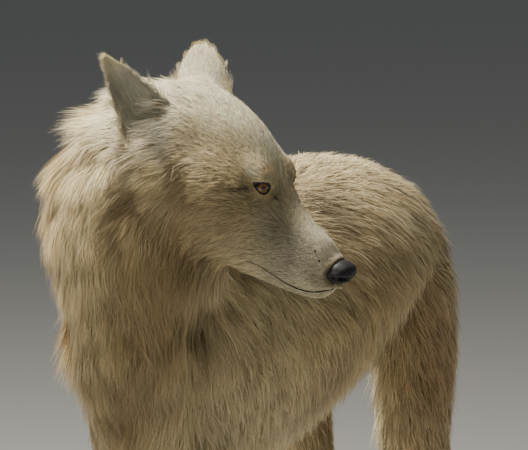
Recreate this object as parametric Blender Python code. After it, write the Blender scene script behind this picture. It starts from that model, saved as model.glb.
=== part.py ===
"""Arctic wolf, standing, its head turned to its own left. Life size, metres, +Z up.

The trunk faces -Y and the wolf's left is +X. The flesh is lofted from named sizes, fused into one body, and parted
by thin cuts where a person would name its pieces. Sizes run out to the tips of the coat.
"""

import math

import bmesh
import bpy
import numpy as np
from mathutils import Euler, Matrix, Vector
from mathutils.bvhtree import BVHTree

# Driving sizes
WITHERS_HEIGHT = 0.782
BACK_HEIGHT = 0.770
CROUP_HEIGHT = 0.750
EYE_HEIGHT = 0.790
ELBOW_HEIGHT = 0.455
CARPUS_HEIGHT = 0.205
HOCK_HEIGHT = 0.250
FORE_HALF_SPACING = 0.040
FOREPAW_HALF_SPACING = 0.050
HIND_HALF_SPACING = 0.072
HINDPAW_HALF_SPACING = 0.062
HIND_Y = 0.630
EYE_HALF_SPACING = 0.0335
EYE_RADIUS = 0.0110
EYE_FORWARD = -0.0105
CLAW_LENGTH = 0.017
CLAW_RADIUS = 0.0042
HEAD_PITCH = math.radians(30.0)
HEAD_YAW = math.radians(-2.0)
HEAD_PLACE = Vector((0.159, -0.048, EYE_HEIGHT))

# How the solids are made
GAP = 0.0003
CUT = 0.0004
VOXEL = 0.0045
FLESH_TRIANGLES = 4500
SMOOTH_ROUNDS = 34

COLOURS = {
    "coat": ((0.72, 0.62, 0.43, 1.0), 0.85),
    "dark_skin": ((0.018, 0.016, 0.016, 1.0), 0.45),
    "eye": ((0.30, 0.17, 0.05, 1.0), 0.12),
    "claw": ((0.10, 0.08, 0.06, 1.0), 0.40),
}

SIDES = {"left": 1.0, "right": -1.0}


def clear_scene():
    for thing in list(bpy.data.objects):
        bpy.data.objects.remove(thing, do_unlink=True)


def material(slot):
    """One Principled material, with the slot's colour and roughness."""
    colour, roughness = COLOURS[slot]
    made = bpy.data.materials.new(slot)
    made.use_nodes = True
    made.diffuse_color = colour
    shader = made.node_tree.nodes["Principled BSDF"]
    shader.inputs["Base Color"].default_value = colour
    shader.inputs["Roughness"].default_value = roughness
    return made


def new_object(name, mesh):
    thing = bpy.data.objects.new(name, mesh)
    bpy.context.scene.collection.objects.link(thing)
    return thing


def mesh_from(name, points, faces):
    mesh = bpy.data.meshes.new(name)
    mesh.from_pydata([tuple(p) for p in points], [], faces)
    mesh.update()
    return mesh


def head_matrix():
    """From the head's own axes (forward, left, up from between the eyes) to the world's."""
    turn = Euler((0.0, HEAD_PITCH, HEAD_YAW), "XYZ").to_matrix().to_4x4()
    return Matrix.Translation(HEAD_PLACE) @ turn


# Surfaces carried along a path


def smooth_rows(rows, per_span):
    """Rows of numbers joined by a smooth curve through each of them, spaced by the distance between their places."""
    rows = np.asarray(rows, dtype=float)
    steps = np.linalg.norm(np.diff(rows[:, :3], axis=0), axis=1)
    along = np.concatenate(([0.0], np.cumsum(steps)))
    slopes = np.gradient(rows, along, axis=0)
    out = []
    for i in range(len(rows) - 1):
        span = along[i + 1] - along[i]
        for t in np.linspace(0.0, 1.0, per_span, endpoint=False):
            a = 2 * t**3 - 3 * t**2 + 1
            b = (t**3 - 2 * t**2 + t) * span
            c = -2 * t**3 + 3 * t**2
            d = (t**3 - t**2) * span
            out.append(a * rows[i] + b * slopes[i] + c * rows[i + 1] + d * slopes[i + 1])
    out.append(rows[-1])
    return np.array(out)


def loft(name, rows, side=(1.0, 0.0, 0.0), square=1.0, keel=0.0, sides=28, per_span=5, cap_rings=5):
    """A closed body from rows of (x, y, z, across, over, under), with domed ends.

    Each ring stands square to the path. Across lies along side, over and under along side x path. Keel narrows the
    under half towards its edge.
    """
    rows = smooth_rows(rows, per_span)
    places = rows[:, :3]
    tangents = np.gradient(places, axis=0)
    tangents /= np.linalg.norm(tangents, axis=1)[:, None]
    side = np.asarray(side, dtype=float)
    rings = []
    for place, tangent, (across, over, under) in zip(places, tangents, rows[:, 3:]):
        rings.append((place, tangent, across, over, under))
    first, last = rings[0], rings[-1]
    rings = cap(first, -1.0, cap_rings)[::-1] + rings + cap(last, 1.0, cap_rings)
    angles = np.arange(sides) * 2 * math.pi / sides
    points = []
    for place, tangent, across, over, under in rings:
        lateral = side - tangent * side.dot(tangent)
        lateral /= np.linalg.norm(lateral)
        up = np.cross(lateral, tangent)
        for angle in angles:
            c, s = math.cos(angle), math.sin(angle)
            wide = across * math.copysign(abs(c) ** square, c) * (1.0 - keel * max(-s, 0.0))
            high = (over if s > 0 else under) * math.copysign(abs(s) ** square, s)
            points.append(place + lateral * wide + up * high)
    return new_object(name, mesh_from(name, points, ring_faces(len(rings), sides)))


def cap(ring, sign, count):
    """Rings that round off an end, shrinking as a quarter circle does."""
    place, tangent, across, over, under = ring
    depth = 0.55 * min(across, (over + under) / 2)
    made = []
    for i in range(1, count + 1):
        angle = math.pi / 2 * i / count
        shrink = max(math.cos(angle), 0.02)
        centre = place + tangent * sign * depth * math.sin(angle)
        made.append((centre, tangent, across * shrink, over * shrink, under * shrink))
    return made


def ring_faces(rings, sides):
    faces = []
    for r in range(rings - 1):
        for s in range(sides):
            t = (s + 1) % sides
            faces.append((r * sides + s, (r + 1) * sides + s, (r + 1) * sides + t, r * sides + t))
    faces.append(tuple(range(sides)))
    faces.append(tuple((rings - 1) * sides + s for s in range(sides))[::-1])
    return faces


def ball(name, centre, radii, matrix=None, turn=(0.0, 0.0, 0.0), fine=3):
    """An egg-shaped body with the given half axes."""
    mesh = bpy.data.meshes.new(name)
    shape = bmesh.new()
    bmesh.ops.create_icosphere(shape, subdivisions=fine, radius=1.0)
    place = Matrix.Translation(Vector(centre)) @ Euler(turn).to_matrix().to_4x4()
    place = place @ Matrix.Diagonal((*radii, 1.0))
    if matrix is not None:
        place = matrix @ place
    bmesh.ops.transform(shape, matrix=place, verts=shape.verts)
    shape.to_mesh(mesh)
    shape.free()
    return new_object(name, mesh)


# The flesh


def trunk():
    """Chest, ribs, loin and croup: (y, top, bottom, half width) from the breast to the seat."""
    sizes = (
        (-0.080, 0.650, 0.500, 0.058),
        (-0.050, 0.715, 0.462, 0.082),
        (0.000, 0.765, 0.438, 0.102),
        (0.070, WITHERS_HEIGHT, 0.428, 0.117),
        (0.170, 0.777, 0.438, 0.128),
        (0.290, BACK_HEIGHT, 0.458, 0.134),
        (0.400, 0.770, 0.476, 0.132),
        (0.490, 0.764, 0.496, 0.121),
        (0.570, CROUP_HEIGHT, 0.518, 0.108),
        (0.625, 0.733, 0.540, 0.094),
        (0.665, 0.708, 0.570, 0.072),
    )
    rows = [(0.0, y, (t + b) / 2, w, (t - b) / 2, (t - b) / 2) for y, t, b, w in sizes]
    return [loft("trunk", rows, square=0.96, keel=0.42)]


def neck():
    """The neck rises from between the shoulders and turns to the left under a full ruff."""
    rows = (
        (0.000, 0.010, 0.545, 0.070, 0.105, 0.110),
        (0.000, 0.000, 0.610, 0.089, 0.130, 0.140),
        (0.000, -0.010, 0.672, 0.088, 0.136, 0.140),
        (0.000, -0.030, 0.728, 0.104, 0.124, 0.124),
        (0.003, -0.042, 0.780, 0.102, 0.108, 0.104),
        (0.015, -0.046, 0.826, 0.078, 0.084, 0.084),
    )
    mane = ball("mane", (0.0, 0.045, 0.742), (0.078, 0.088, 0.056))
    return [loft("neck", rows), mane]


def skull(matrix):
    """Muzzle, brow and cranium: (forward, top, bottom, half width) from the nape to the lips."""
    sizes = (
        (-0.165, 0.018, -0.105, 0.066),
        (-0.130, 0.038, -0.118, 0.074),
        (-0.095, 0.043, -0.120, 0.072),
        (-0.060, 0.036, -0.117, 0.065),
        (-0.030, 0.020, -0.112, 0.055),
        (-0.008, 0.006, -0.107, 0.047),
        (0.015, -0.007, -0.102, 0.040),
        (0.040, -0.016, -0.096, 0.032),
        (0.068, -0.021, -0.090, 0.028),
        (0.092, -0.028, -0.083, 0.021),
    )
    rows = [(a, 0.0, (t + b) / 2, w, (t - b) / 2, (t - b) / 2) for a, t, b, w in sizes]
    head = loft("skull", rows, side=(0.0, -1.0, 0.0), square=0.88)
    head.data.transform(matrix)
    made = [head]
    for sign in SIDES.values():
        made.append(ball("cheek", (-0.064, sign * 0.036, -0.046), (0.074, 0.043, 0.060), matrix))
        made.append(ball("cheek_ruff", (-0.112, sign * 0.042, -0.060), (0.070, 0.058, 0.068), matrix))
        made.append(ball("brow", (-0.030, sign * 0.025, 0.000), (0.032, 0.022, 0.019), matrix))
        made.append(ball("under_eye", (-0.020, sign * 0.030, -0.040), (0.042, 0.020, 0.030), matrix))
        made.append(ball("lip", (0.066, sign * 0.011, -0.056), (0.040, 0.019, 0.023), matrix))
        made.append(ball("ear_root", (-0.106, sign * 0.048, -0.004), (0.026, 0.020, 0.030), matrix))
    return made


def foreleg(sign):
    """Shoulder, elbow, knee and pastern, set close under the narrow chest."""
    x = sign * FORE_HALF_SPACING
    low = sign * (FOREPAW_HALF_SPACING - 0.003)
    shoulder = (
        (sign * 0.056, 0.062, 0.690, 0.032, 0.062, 0.060),
        (sign * 0.058, 0.004, 0.610, 0.034, 0.080, 0.072),
        (sign * 0.047, 0.012, 0.530, 0.030, 0.070, 0.060),
        (sign * 0.043, 0.028, ELBOW_HEIGHT, 0.027, 0.046, 0.046),
    )
    arm = (
        (x * 1.08, 0.030, ELBOW_HEIGHT + 0.04, 0.029, 0.050, 0.055),
        (x * 1.04, 0.022, ELBOW_HEIGHT - 0.03, 0.027, 0.040, 0.042),
        (x, 0.010, 0.340, 0.0255, 0.033, 0.033),
        (x, 0.002, 0.255, 0.0220, 0.027, 0.026),
        (x, -0.003, CARPUS_HEIGHT, 0.0235, 0.028, 0.028),
        (x * 1.04, -0.002, 0.150, 0.0205, 0.024, 0.023),
        (x * 1.10, -0.010, 0.095, 0.0220, 0.026, 0.024),
        (low, -0.020, 0.045, 0.0260, 0.030, 0.026),
    )
    return [loft("shoulder", shoulder), loft("arm", arm)]


def hindleg(sign):
    """Thigh, stifle, shank and the upright shin below the hock."""
    x = sign * HIND_HALF_SPACING
    low = sign * (HINDPAW_HALF_SPACING + 0.001)
    y = HIND_Y
    leg = (
        (sign * 0.056, y - 0.030, 0.655, 0.046, 0.066, 0.085),
        (sign * 0.068, y - 0.035, 0.570, 0.046, 0.090, 0.092),
        (x * 1.05, y - 0.045, 0.490, 0.041, 0.078, 0.072),
        (x * 1.02, y - 0.030, 0.410, 0.034, 0.056, 0.053),
        (x, y + 0.008, 0.335, 0.0265, 0.040, 0.040),
        (x * 0.95, y + 0.043, HOCK_HEIGHT + 0.02, 0.0220, 0.031, 0.031),
        (x * 0.93, y + 0.052, HOCK_HEIGHT - 0.03, 0.0220, 0.027, 0.028),
        (x * 0.90, y + 0.044, 0.150, 0.0200, 0.023, 0.023),
        (x * 0.88, y + 0.027, 0.090, 0.0215, 0.024, 0.024),
        (low, y + 0.012, 0.045, 0.0250, 0.028, 0.028),
    )
    return [loft("hindleg", leg)]


def toe_places(sign, x, y, length):
    """The four toes of a paw: two long middle ones and two outer ones set back, fanned a little outwards."""
    places = []
    for step in (-1.5, -0.5, 0.5, 1.5):
        middle = abs(step) < 1.0
        forward = length * (0.50 if middle else 0.27)
        places.append(Vector((x + step * 0.0205 + sign * forward * 0.06, y - forward, 0.0)))
    return places


def paw(sign, x, y, length):
    """A broad paw: a palm, four toes and the pads, later cut level with the floor."""
    made = [ball("palm", (x, y + length * 0.14, 0.024), (0.034, length * 0.32, 0.030))]
    for toe in toe_places(sign, x, y, length):
        made.append(ball("toe", (toe.x, toe.y + 0.010, 0.017), (0.0120, 0.0270, 0.0215)))
    return made


def paws():
    """Where each paw stands: name, side, x, y and length."""
    for word, sign in SIDES.items():
        yield f"forepaw_{word}", sign, sign * FOREPAW_HALF_SPACING, -0.036, 0.098
        yield f"hindpaw_{word}", sign, sign * HINDPAW_HALF_SPACING, HIND_Y - 0.006, 0.090


def tail():
    """A bushy tail that hangs to the hocks."""
    rows = (
        (0.000, 0.625, 0.688, 0.034, 0.034, 0.034),
        (0.000, 0.688, 0.672, 0.038, 0.034, 0.036),
        (0.000, 0.730, 0.625, 0.039, 0.035, 0.035),
        (0.000, 0.753, 0.550, 0.046, 0.042, 0.036),
        (0.000, 0.761, 0.460, 0.050, 0.047, 0.038),
        (0.000, 0.760, 0.370, 0.038, 0.038, 0.031),
        (0.000, 0.757, 0.300, 0.010, 0.010, 0.010),
    )
    return [loft("tail", rows)]


def fuse(pieces):
    """One closed body of all the flesh, its joints softened, with the head and paws kept finer."""
    bpy.ops.object.select_all(action="DESELECT")
    for piece in pieces:
        piece.select_set(True)
    body = pieces[0]
    bpy.context.view_layer.objects.active = body
    bpy.ops.object.join()
    body.name = "flesh"
    remesh = body.modifiers.new("Fuse", "REMESH")
    remesh.mode = "VOXEL"
    remesh.voxel_size = VOXEL
    apply_all(body)
    soften(body.data, SMOOTH_ROUNDS)
    return body


def apply_all(thing):
    """The object's mesh as its modifiers leave it."""
    graph = bpy.context.evaluated_depsgraph_get()
    mesh = bpy.data.meshes.new_from_object(thing.evaluated_get(graph), depsgraph=graph)
    thing.modifiers.clear()
    thing.data = mesh


def soften(mesh, rounds):
    """Pull each point to its neighbours' mean, then push it part of the way back, so that the size stays."""
    count = len(mesh.vertices)
    points = np.empty(count * 3)
    mesh.vertices.foreach_get("co", points)
    points = points.reshape(-1, 3)
    edges = np.empty(len(mesh.edges) * 2, dtype=int)
    mesh.edges.foreach_get("vertices", edges)
    a, b = edges.reshape(-1, 2).T
    degree = np.bincount(np.concatenate((a, b)), minlength=count)[:, None]
    for amount in (0.60, -0.52) * rounds:
        total = np.zeros_like(points)
        for axis in range(3):
            total[:, axis] = np.bincount(a, points[b, axis], count) + np.bincount(b, points[a, axis], count)
        points = points + amount * (total / degree - points)
    mesh.vertices.foreach_set("co", points.ravel())
    mesh.update()


def thin_out(body, matrix):
    """Fewer triangles where the body is broad and smooth, more on the head and paws."""
    keep = body.vertex_groups.new(name="keep_fine")
    to_head = matrix.inverted()
    for vertex in body.data.vertices:
        place = to_head @ vertex.co
        weight = 0.25
        if place.x > -0.10 and abs(place.y) < 0.11 and place.z > -0.14:
            weight = 1.0
        elif vertex.co.z < 0.45:
            weight = 0.42
        keep.add((vertex.index,), 1.0 - 0.9 * weight, "REPLACE")
    thin = body.modifiers.new("Thin", "DECIMATE")
    thin.ratio = FLESH_TRIANGLES / (2.0 * len(body.data.polygons))
    thin.vertex_group = keep.name
    thin.vertex_group_factor = 1.0
    apply_all(body)
    body.vertex_groups.clear()


# Cuts


def subtract(body, cutter):
    """The body less the cutter, which is removed."""
    cut = body.modifiers.new("Cut", "BOOLEAN")
    cut.operation = "DIFFERENCE"
    cut.solver = "EXACT"
    cut.object = cutter
    apply_all(body)
    bpy.data.objects.remove(cutter, do_unlink=True)


def disc(centre, normal, radius):
    """A round sheet as thin as a cut."""
    mesh = bpy.data.meshes.new("disc")
    shape = bmesh.new()
    bmesh.ops.create_cone(shape, cap_ends=True, segments=20, radius1=radius, radius2=radius, depth=CUT)
    turn = Vector(normal).to_track_quat("Z", "Y").to_matrix().to_4x4()
    bmesh.ops.transform(shape, matrix=Matrix.Translation(Vector(centre)) @ turn, verts=shape.verts)
    shape.to_mesh(mesh)
    shape.free()
    return new_object("disc", mesh)


def dome(centre, radii):
    """The upper half of an egg shell as thin as a cut, open below, to free a leg from the trunk."""
    rings, sides = 5, 16
    points = []
    for wall in (0.0, CUT):
        for r in range(rings + 1):
            tilt = math.pi / 2 * r / rings
            for s in range(sides):
                turn = 2 * math.pi * (s + 0.5) / sides
                spread = max(math.cos(tilt), 0.01)
                points.append((
                    centre[0] + (radii[0] - wall) * spread * math.cos(turn),
                    centre[1] + (radii[1] - wall) * spread * math.sin(turn),
                    centre[2] + (radii[2] - wall) * math.sin(tilt),
                ))
    layer = (rings + 1) * sides
    faces = []
    for r in range(rings):
        for s in range(sides):
            t = (s + 1) % sides
            quad = (r * sides + s, r * sides + t, (r + 1) * sides + t, (r + 1) * sides + s)
            faces.append(quad)
            faces.append(tuple(layer + i for i in quad[::-1]))
    top = tuple(rings * sides + s for s in range(sides))
    faces.append(top)
    faces.append(tuple(layer + i for i in top[::-1]))
    for s in range(sides):
        t = (s + 1) % sides
        faces.append((t, s, layer + s, layer + t))
    return new_object("dome", mesh_from("dome", points, faces))


def ribbon(path, half_width, matrix):
    """A bent sheet as thin as a cut: a path of (forward, up) in the head's axes, spread to both sides."""
    path = [Vector((a, 0.0, c)) for a, c in path]
    upper, lower = [], []
    for i, place in enumerate(path):
        before = path[max(i - 1, 0)]
        after = path[min(i + 1, len(path) - 1)]
        along = (after - before).normalized()
        normal = Vector((-along.z, 0.0, along.x)) * (CUT / 2)
        upper.append(place + normal)
        lower.append(place - normal)
    outline = upper + lower[::-1]
    count = len(outline)
    points = []
    for side in (-half_width, half_width):
        for place in outline:
            points.append(matrix @ Vector((place.x, side, place.z)))
    faces = [(i, (i + 1) % count, count + (i + 1) % count, count + i) for i in range(count)]
    n = len(path)
    for i in range(n - 1):
        near = (i, i + 1, count - 2 - i, count - 1 - i)
        faces.append(near[::-1])
        faces.append(tuple(count + j for j in near))
    thing = new_object("ribbon", mesh_from("ribbon", points, faces))
    face_out(thing)
    return thing


def face_out(thing):
    shape = bmesh.new()
    shape.from_mesh(thing.data)
    bmesh.ops.recalc_face_normals(shape, faces=shape.faces)
    shape.to_mesh(thing.data)
    shape.free()


def swollen(thing, amount):
    """A copy a little larger all round, so that what it cuts keeps a gap to the piece."""
    mesh = thing.data.copy()
    mesh.update()
    for vertex, normal in zip(mesh.vertices, [v.normal.copy() for v in thing.data.vertices]):
        vertex.co += normal * amount
    return new_object(thing.name + "_cutter", mesh)


MOUTH_LINE = ((0.125, -0.060), (0.102, -0.063), (0.086, -0.076), (0.060, -0.079), (0.026, -0.077),
              (0.016, -0.090), (0.010, -0.130))


def part_flesh(body, matrix):
    """The thin cuts between neck and trunk, head and neck, jaw, tail and the lengths of each leg."""
    subtract(body, disc((0.0, 0.020, 0.668), (0.0, -0.74, 0.67), 0.26))
    subtract(body, disc((0.035, -0.020, 0.785), (0.75, 0.0, 0.66), 0.137))
    subtract(body, ribbon(MOUTH_LINE, 0.07, matrix))
    subtract(body, disc((0.0, 0.722, 0.640), (0.0, 0.98, -0.15), 0.090))
    for sign in SIDES.values():
        x = sign * FORE_HALF_SPACING
        subtract(body, dome((sign * 0.131, 0.020, 0.400), (0.129, 0.130, 0.170)))
        subtract(body, dome((sign * 0.151, HIND_Y, 0.420), (0.149, 0.150, 0.230)))
        subtract(body, disc((x, -0.002, CARPUS_HEIGHT + 0.02), (0.0, 0.0, 1.0), 0.038))
        subtract(body, disc((sign * FOREPAW_HALF_SPACING, -0.010, 0.068), (0.0, -0.35, 1.0), 0.040))
        hind = sign * HIND_HALF_SPACING
        subtract(body, disc((hind * 1.03, HIND_Y - 0.034, 0.425), (0.0, -0.30, 1.0), 0.071))
        subtract(body, disc((hind * 0.95, HIND_Y + 0.040, HOCK_HEIGHT + 0.025), (0.0, -0.25, 1.0), 0.042))
        subtract(body, disc((sign * HINDPAW_HALF_SPACING, HIND_Y + 0.020, 0.066), (0.0, -0.30, 1.0), 0.040))


def seeds(matrix):
    """A point inside each piece of flesh, by its name."""
    made = {
        "trunk": Vector((0.0, 0.300, 0.620)),
        "neck": Vector((0.0, -0.030, 0.720)),
        "head": matrix @ Vector((-0.060, 0.0, -0.030)),
        "jaw": matrix @ Vector((0.050, 0.0, -0.088)),
        "tail": Vector((0.0, 0.778, 0.500)),
    }
    for word, sign in SIDES.items():
        x, hind = sign * FORE_HALF_SPACING, sign * HIND_HALF_SPACING
        made[f"foreleg_{word}_upper"] = Vector((x, 0.010, 0.340))
        made[f"foreleg_{word}_lower"] = Vector((x, -0.002, 0.150))
        made[f"forepaw_{word}"] = Vector((sign * FOREPAW_HALF_SPACING, -0.040, 0.025))
        made[f"thigh_{word}"] = Vector((hind, HIND_Y - 0.040, 0.510))
        made[f"shank_{word}"] = Vector((hind, HIND_Y - 0.005, 0.350))
        made[f"hock_{word}"] = Vector((hind * 0.90, HIND_Y + 0.036, 0.150))
        made[f"hindpaw_{word}"] = Vector((sign * HINDPAW_HALF_SPACING, HIND_Y - 0.008, 0.025))
    return made


def named_pieces(body, matrix):
    """The parted body's loose pieces, each named after the seed that its own faces hold."""
    bpy.ops.object.select_all(action="DESELECT")
    body.select_set(True)
    bpy.context.view_layer.objects.active = body
    bpy.ops.mesh.separate(type="LOOSE")
    loose = list(bpy.context.selected_objects)
    trees = {}
    for thing in loose:
        corners = [v.co.copy() for v in thing.data.vertices]
        trees[thing] = BVHTree.FromPolygons(corners, [tuple(f.vertices) for f in thing.data.polygons])
    pieces = {}
    for name, seed in seeds(matrix).items():
        pieces[name] = next(thing for thing in loose if holds(trees[thing], seed))
        loose.remove(pieces[name])
    for thing in loose:
        bpy.data.objects.remove(thing, do_unlink=True)
    for name, thing in pieces.items():
        thing.name = name
        thing.data.name = name
    return pieces


def holds(tree, seed):
    """Whether the seed lies inside the closed skin: a slanting line from it leaves through an odd number of walls."""
    direction = Vector((0.31, 0.17, 0.93)).normalized()
    place = seed.copy()
    walls = 0
    while True:
        hit, _, _, distance = tree.ray_cast(place, direction)
        if hit is None:
            return walls % 2 == 1
        walls += 1
        place = hit + direction * 1e-5


# Pieces that are solids of their own

EAR_THICKNESS = 0.009
EARS = {
    "ear_right": {
        "root": (-0.104, -0.060, -0.020), "tip": (-0.202, -0.086, 0.033), "open": (0.41, -0.76, 0.39),
        "half_width": 0.042, "taper": 0.46, "round": 1.9,
    },
    "ear_left": {
        "root": (-0.118, 0.052, -0.022), "tip": (-0.170, 0.065, 0.056), "open": (0.10, 1.00, 0.10),
        "half_width": 0.045, "taper": 0.14, "round": 3.4,
    },
}


def ear(name, matrix):
    """A cupped ear: a crescent carried from its root to a rounded tip, its hollow towards open."""
    at = EARS[name]
    root, tip = Vector(at["root"]), Vector(at["tip"])
    along = (tip - root).normalized()
    facing = Vector(at["open"])
    facing = (facing - along * facing.dot(along)).normalized()
    across = along.cross(facing)
    rings, half = 9, 5
    length = (tip - root).length
    points = []
    for r in range(rings):
        t = math.sin(math.pi / 2 * r / (rings - 1))
        width = at["half_width"] * math.sqrt(max(1.0 - t ** at["round"], 0.004)) * (1.0 - at["taper"] * t)
        bulge = 0.030 * (1.0 - t) ** 0.8 + 0.004
        thick = EAR_THICKNESS * (1.0 - 0.45 * t)
        centre = root + along * (length * t)
        for wall in (0, 1):
            for s in range(half + 1):
                v = -1.0 + 2.0 * s / half
                v = v if wall == 0 else -v
                depth = bulge * (1.0 - v * v)
                hollow = depth if wall == 0 else max(depth - thick, -thick * 0.2) - thick * 0.25
                edge = 0.0 if abs(v) == 1.0 else 1.0
                offset = facing * (-hollow * edge) + across * (width * v)
                points.append(centre + offset + facing * 0.010 * (1.0 - t))
    sides = 2 * (half + 1)
    thing = new_object(name, mesh_from(name, points, ring_faces(rings, sides)))
    thing.data.transform(matrix)
    shape = bmesh.new()
    shape.from_mesh(thing.data)
    bmesh.ops.remove_doubles(shape, verts=shape.verts, dist=0.0001)
    bmesh.ops.triangulate(shape, faces=shape.faces)
    bmesh.ops.recalc_face_normals(shape, faces=shape.faces)
    shape.to_mesh(thing.data)
    shape.free()
    return thing


def eye(name, sign, matrix):
    """The eyeball, set in its hollow of the skull."""
    return ball(name, (EYE_FORWARD, sign * EYE_HALF_SPACING, -0.005), (EYE_RADIUS,) * 3, matrix, fine=2)


def nose(matrix):
    """The bare pad at the end of the muzzle, broad above and drawn in below."""
    rows = (
        (0.086, 0.0, -0.041, 0.0150, 0.0120, 0.0150),
        (0.099, 0.0, -0.043, 0.0165, 0.0138, 0.0165),
        (0.110, 0.0, -0.043, 0.0140, 0.0122, 0.0150),
    )
    thing = loft("nose", rows, side=(0.0, -1.0, 0.0), square=0.85, sides=12, per_span=2, cap_rings=2)
    thing.data.transform(matrix)
    return thing


def claw(name, place, length, radius):
    """A blunt claw that curves forwards and down from its toe."""
    rows = (
        (place.x, place.y + 0.008, place.z + 0.001, radius, radius, radius * 1.2),
        (place.x, place.y - length * 0.4, place.z - length * 0.08, radius * 0.85, radius * 0.85, radius),
        (place.x, place.y - length, place.z - length * 0.42, radius * 0.30, radius * 0.30, radius * 0.30),
    )
    return loft(name, rows, sides=5, per_span=1, cap_rings=1)


def claws():
    made = []
    for paw_name, sign, x, y, length in paws():
        for number, toe in enumerate(toe_places(sign, x, y, length), 1):
            place = Vector((toe.x, toe.y - 0.013, 0.0155))
            made.append(claw(f"claw_{paw_name}_{number}", place, CLAW_LENGTH, CLAW_RADIUS))
    return made


def keep_largest(thing):
    """Only the piece with the most faces."""
    shape = bmesh.new()
    shape.from_mesh(thing.data)
    left = set(shape.faces)
    groups = []
    while left:
        group, front = set(), [left.pop()]
        while front:
            face = front.pop()
            group.add(face)
            for edge in face.edges:
                for other in edge.link_faces:
                    if other in left:
                        left.remove(other)
                        front.append(other)
        groups.append(group)
    groups.sort(key=len)
    spare = {face for group in groups[:-1] for face in group}
    bmesh.ops.delete(shape, geom=list(spare), context="FACES")
    shape.to_mesh(thing.data)
    shape.free()


def joined_cutter(things):
    """One cutter made of swollen copies of several pieces."""
    copies = [swollen(thing, GAP) for thing in things]
    bpy.ops.object.select_all(action="DESELECT")
    for copy in copies:
        copy.select_set(True)
    bpy.context.view_layer.objects.active = copies[0]
    if len(copies) > 1:
        bpy.ops.object.join()
    return copies[0]


def level_soles(body):
    """The paws cut flat at the floor."""
    mesh = bpy.data.meshes.new("floor")
    shape = bmesh.new()
    bmesh.ops.create_cube(shape, size=2.0)
    bmesh.ops.transform(shape, matrix=Matrix.Translation((0.0, 0.0, -1.0)), verts=shape.verts)
    shape.to_mesh(mesh)
    shape.free()
    subtract(body, new_object("floor", mesh))


def stand_at_origin(pieces):
    """Hang every piece on one empty, placed so that the wolf's box stands centred on the origin."""
    points = [v.co for thing in pieces for v in thing.data.vertices]
    low = [min(p[i] for p in points) for i in range(3)]
    high = [max(p[i] for p in points) for i in range(3)]
    holder = bpy.data.objects.new("arctic_wolf", None)
    bpy.context.scene.collection.objects.link(holder)
    holder.location = (-(low[0] + high[0]) / 2, -(low[1] + high[1]) / 2, -low[2])
    for thing in pieces:
        thing.parent = holder


def main():
    clear_scene()
    matrix = head_matrix()
    flesh = trunk() + neck() + skull(matrix) + tail()
    for sign in SIDES.values():
        flesh += foreleg(sign) + hindleg(sign)
    for _, sign, x, y, length in paws():
        flesh += paw(sign, x, y, length)
    body = fuse(flesh)
    thin_out(body, matrix)
    level_soles(body)

    eyes = [eye(f"eye_{word}", sign, matrix) for word, sign in SIDES.items()]
    noses = [nose(matrix)]
    nails = claws()
    ears = [ear(f"ear_{word}", matrix) for word in SIDES]
    for lobe in ears:
        subtract(lobe, swollen(body, GAP))
        keep_largest(lobe)
    subtract(body, joined_cutter(eyes + noses + nails))
    part_flesh(body, matrix)
    pieces = list(named_pieces(body, matrix).values())

    for group, slot in ((pieces + ears, "coat"), (eyes, "eye"), (noses, "dark_skin"), (nails, "claw")):
        for thing in group:
            thing.data.materials.clear()
            thing.data.materials.append(material(slot))
    stand_at_origin(pieces + ears + eyes + noses + nails)


if __name__ == "__main__":
    main()
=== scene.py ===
# An arctic wolf that stands still with its head turned: skin, coat, eyes, nose, claws and a plain studio.
import math
import bmesh
import bpy
import numpy as np
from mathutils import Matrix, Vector
from mathutils.bvhtree import BVHTree

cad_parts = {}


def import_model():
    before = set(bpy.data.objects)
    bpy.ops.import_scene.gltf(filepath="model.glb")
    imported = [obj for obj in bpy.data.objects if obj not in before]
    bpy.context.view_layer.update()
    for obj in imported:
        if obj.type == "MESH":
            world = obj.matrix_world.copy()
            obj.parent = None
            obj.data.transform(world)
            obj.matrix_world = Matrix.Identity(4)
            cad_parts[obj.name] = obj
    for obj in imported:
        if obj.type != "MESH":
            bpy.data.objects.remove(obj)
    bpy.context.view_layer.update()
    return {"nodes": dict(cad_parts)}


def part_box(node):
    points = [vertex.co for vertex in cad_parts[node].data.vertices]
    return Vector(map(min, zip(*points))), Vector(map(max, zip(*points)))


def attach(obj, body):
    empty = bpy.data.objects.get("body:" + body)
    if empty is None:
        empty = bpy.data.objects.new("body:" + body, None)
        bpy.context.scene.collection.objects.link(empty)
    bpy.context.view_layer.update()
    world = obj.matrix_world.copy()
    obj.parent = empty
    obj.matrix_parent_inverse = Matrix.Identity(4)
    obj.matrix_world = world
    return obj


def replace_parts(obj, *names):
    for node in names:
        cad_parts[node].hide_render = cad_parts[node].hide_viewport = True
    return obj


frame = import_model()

mm = 0.001
# where each draw of random numbers starts
seeds = {"roots": 11, "ears": 3, "whiskers": 5, "tufts": 100, "lie": (21, 22, 23), "long": 31, "deep": 32,
         "tint": (41, 42)}

# Places: the body's own frame and the head's own frame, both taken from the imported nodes. The first is between the
# forelegs on the floor (m behind the chest), the second just before and over the middle of the eyes (degrees down, mm)

frames = {"legsBehindChest": 0.098, "headPitch": 30, "headBeforeEyes": 10.5, "headOverEyes": 5}


def middle(node):
    low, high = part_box(node)
    return np.array((low + high) / 2)


def unit(v):
    return v / np.maximum(np.linalg.norm(v, axis=-1, keepdims=True), 1e-12)


def dot(a, b):
    return (a * b).sum(-1, keepdims=True)


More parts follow.
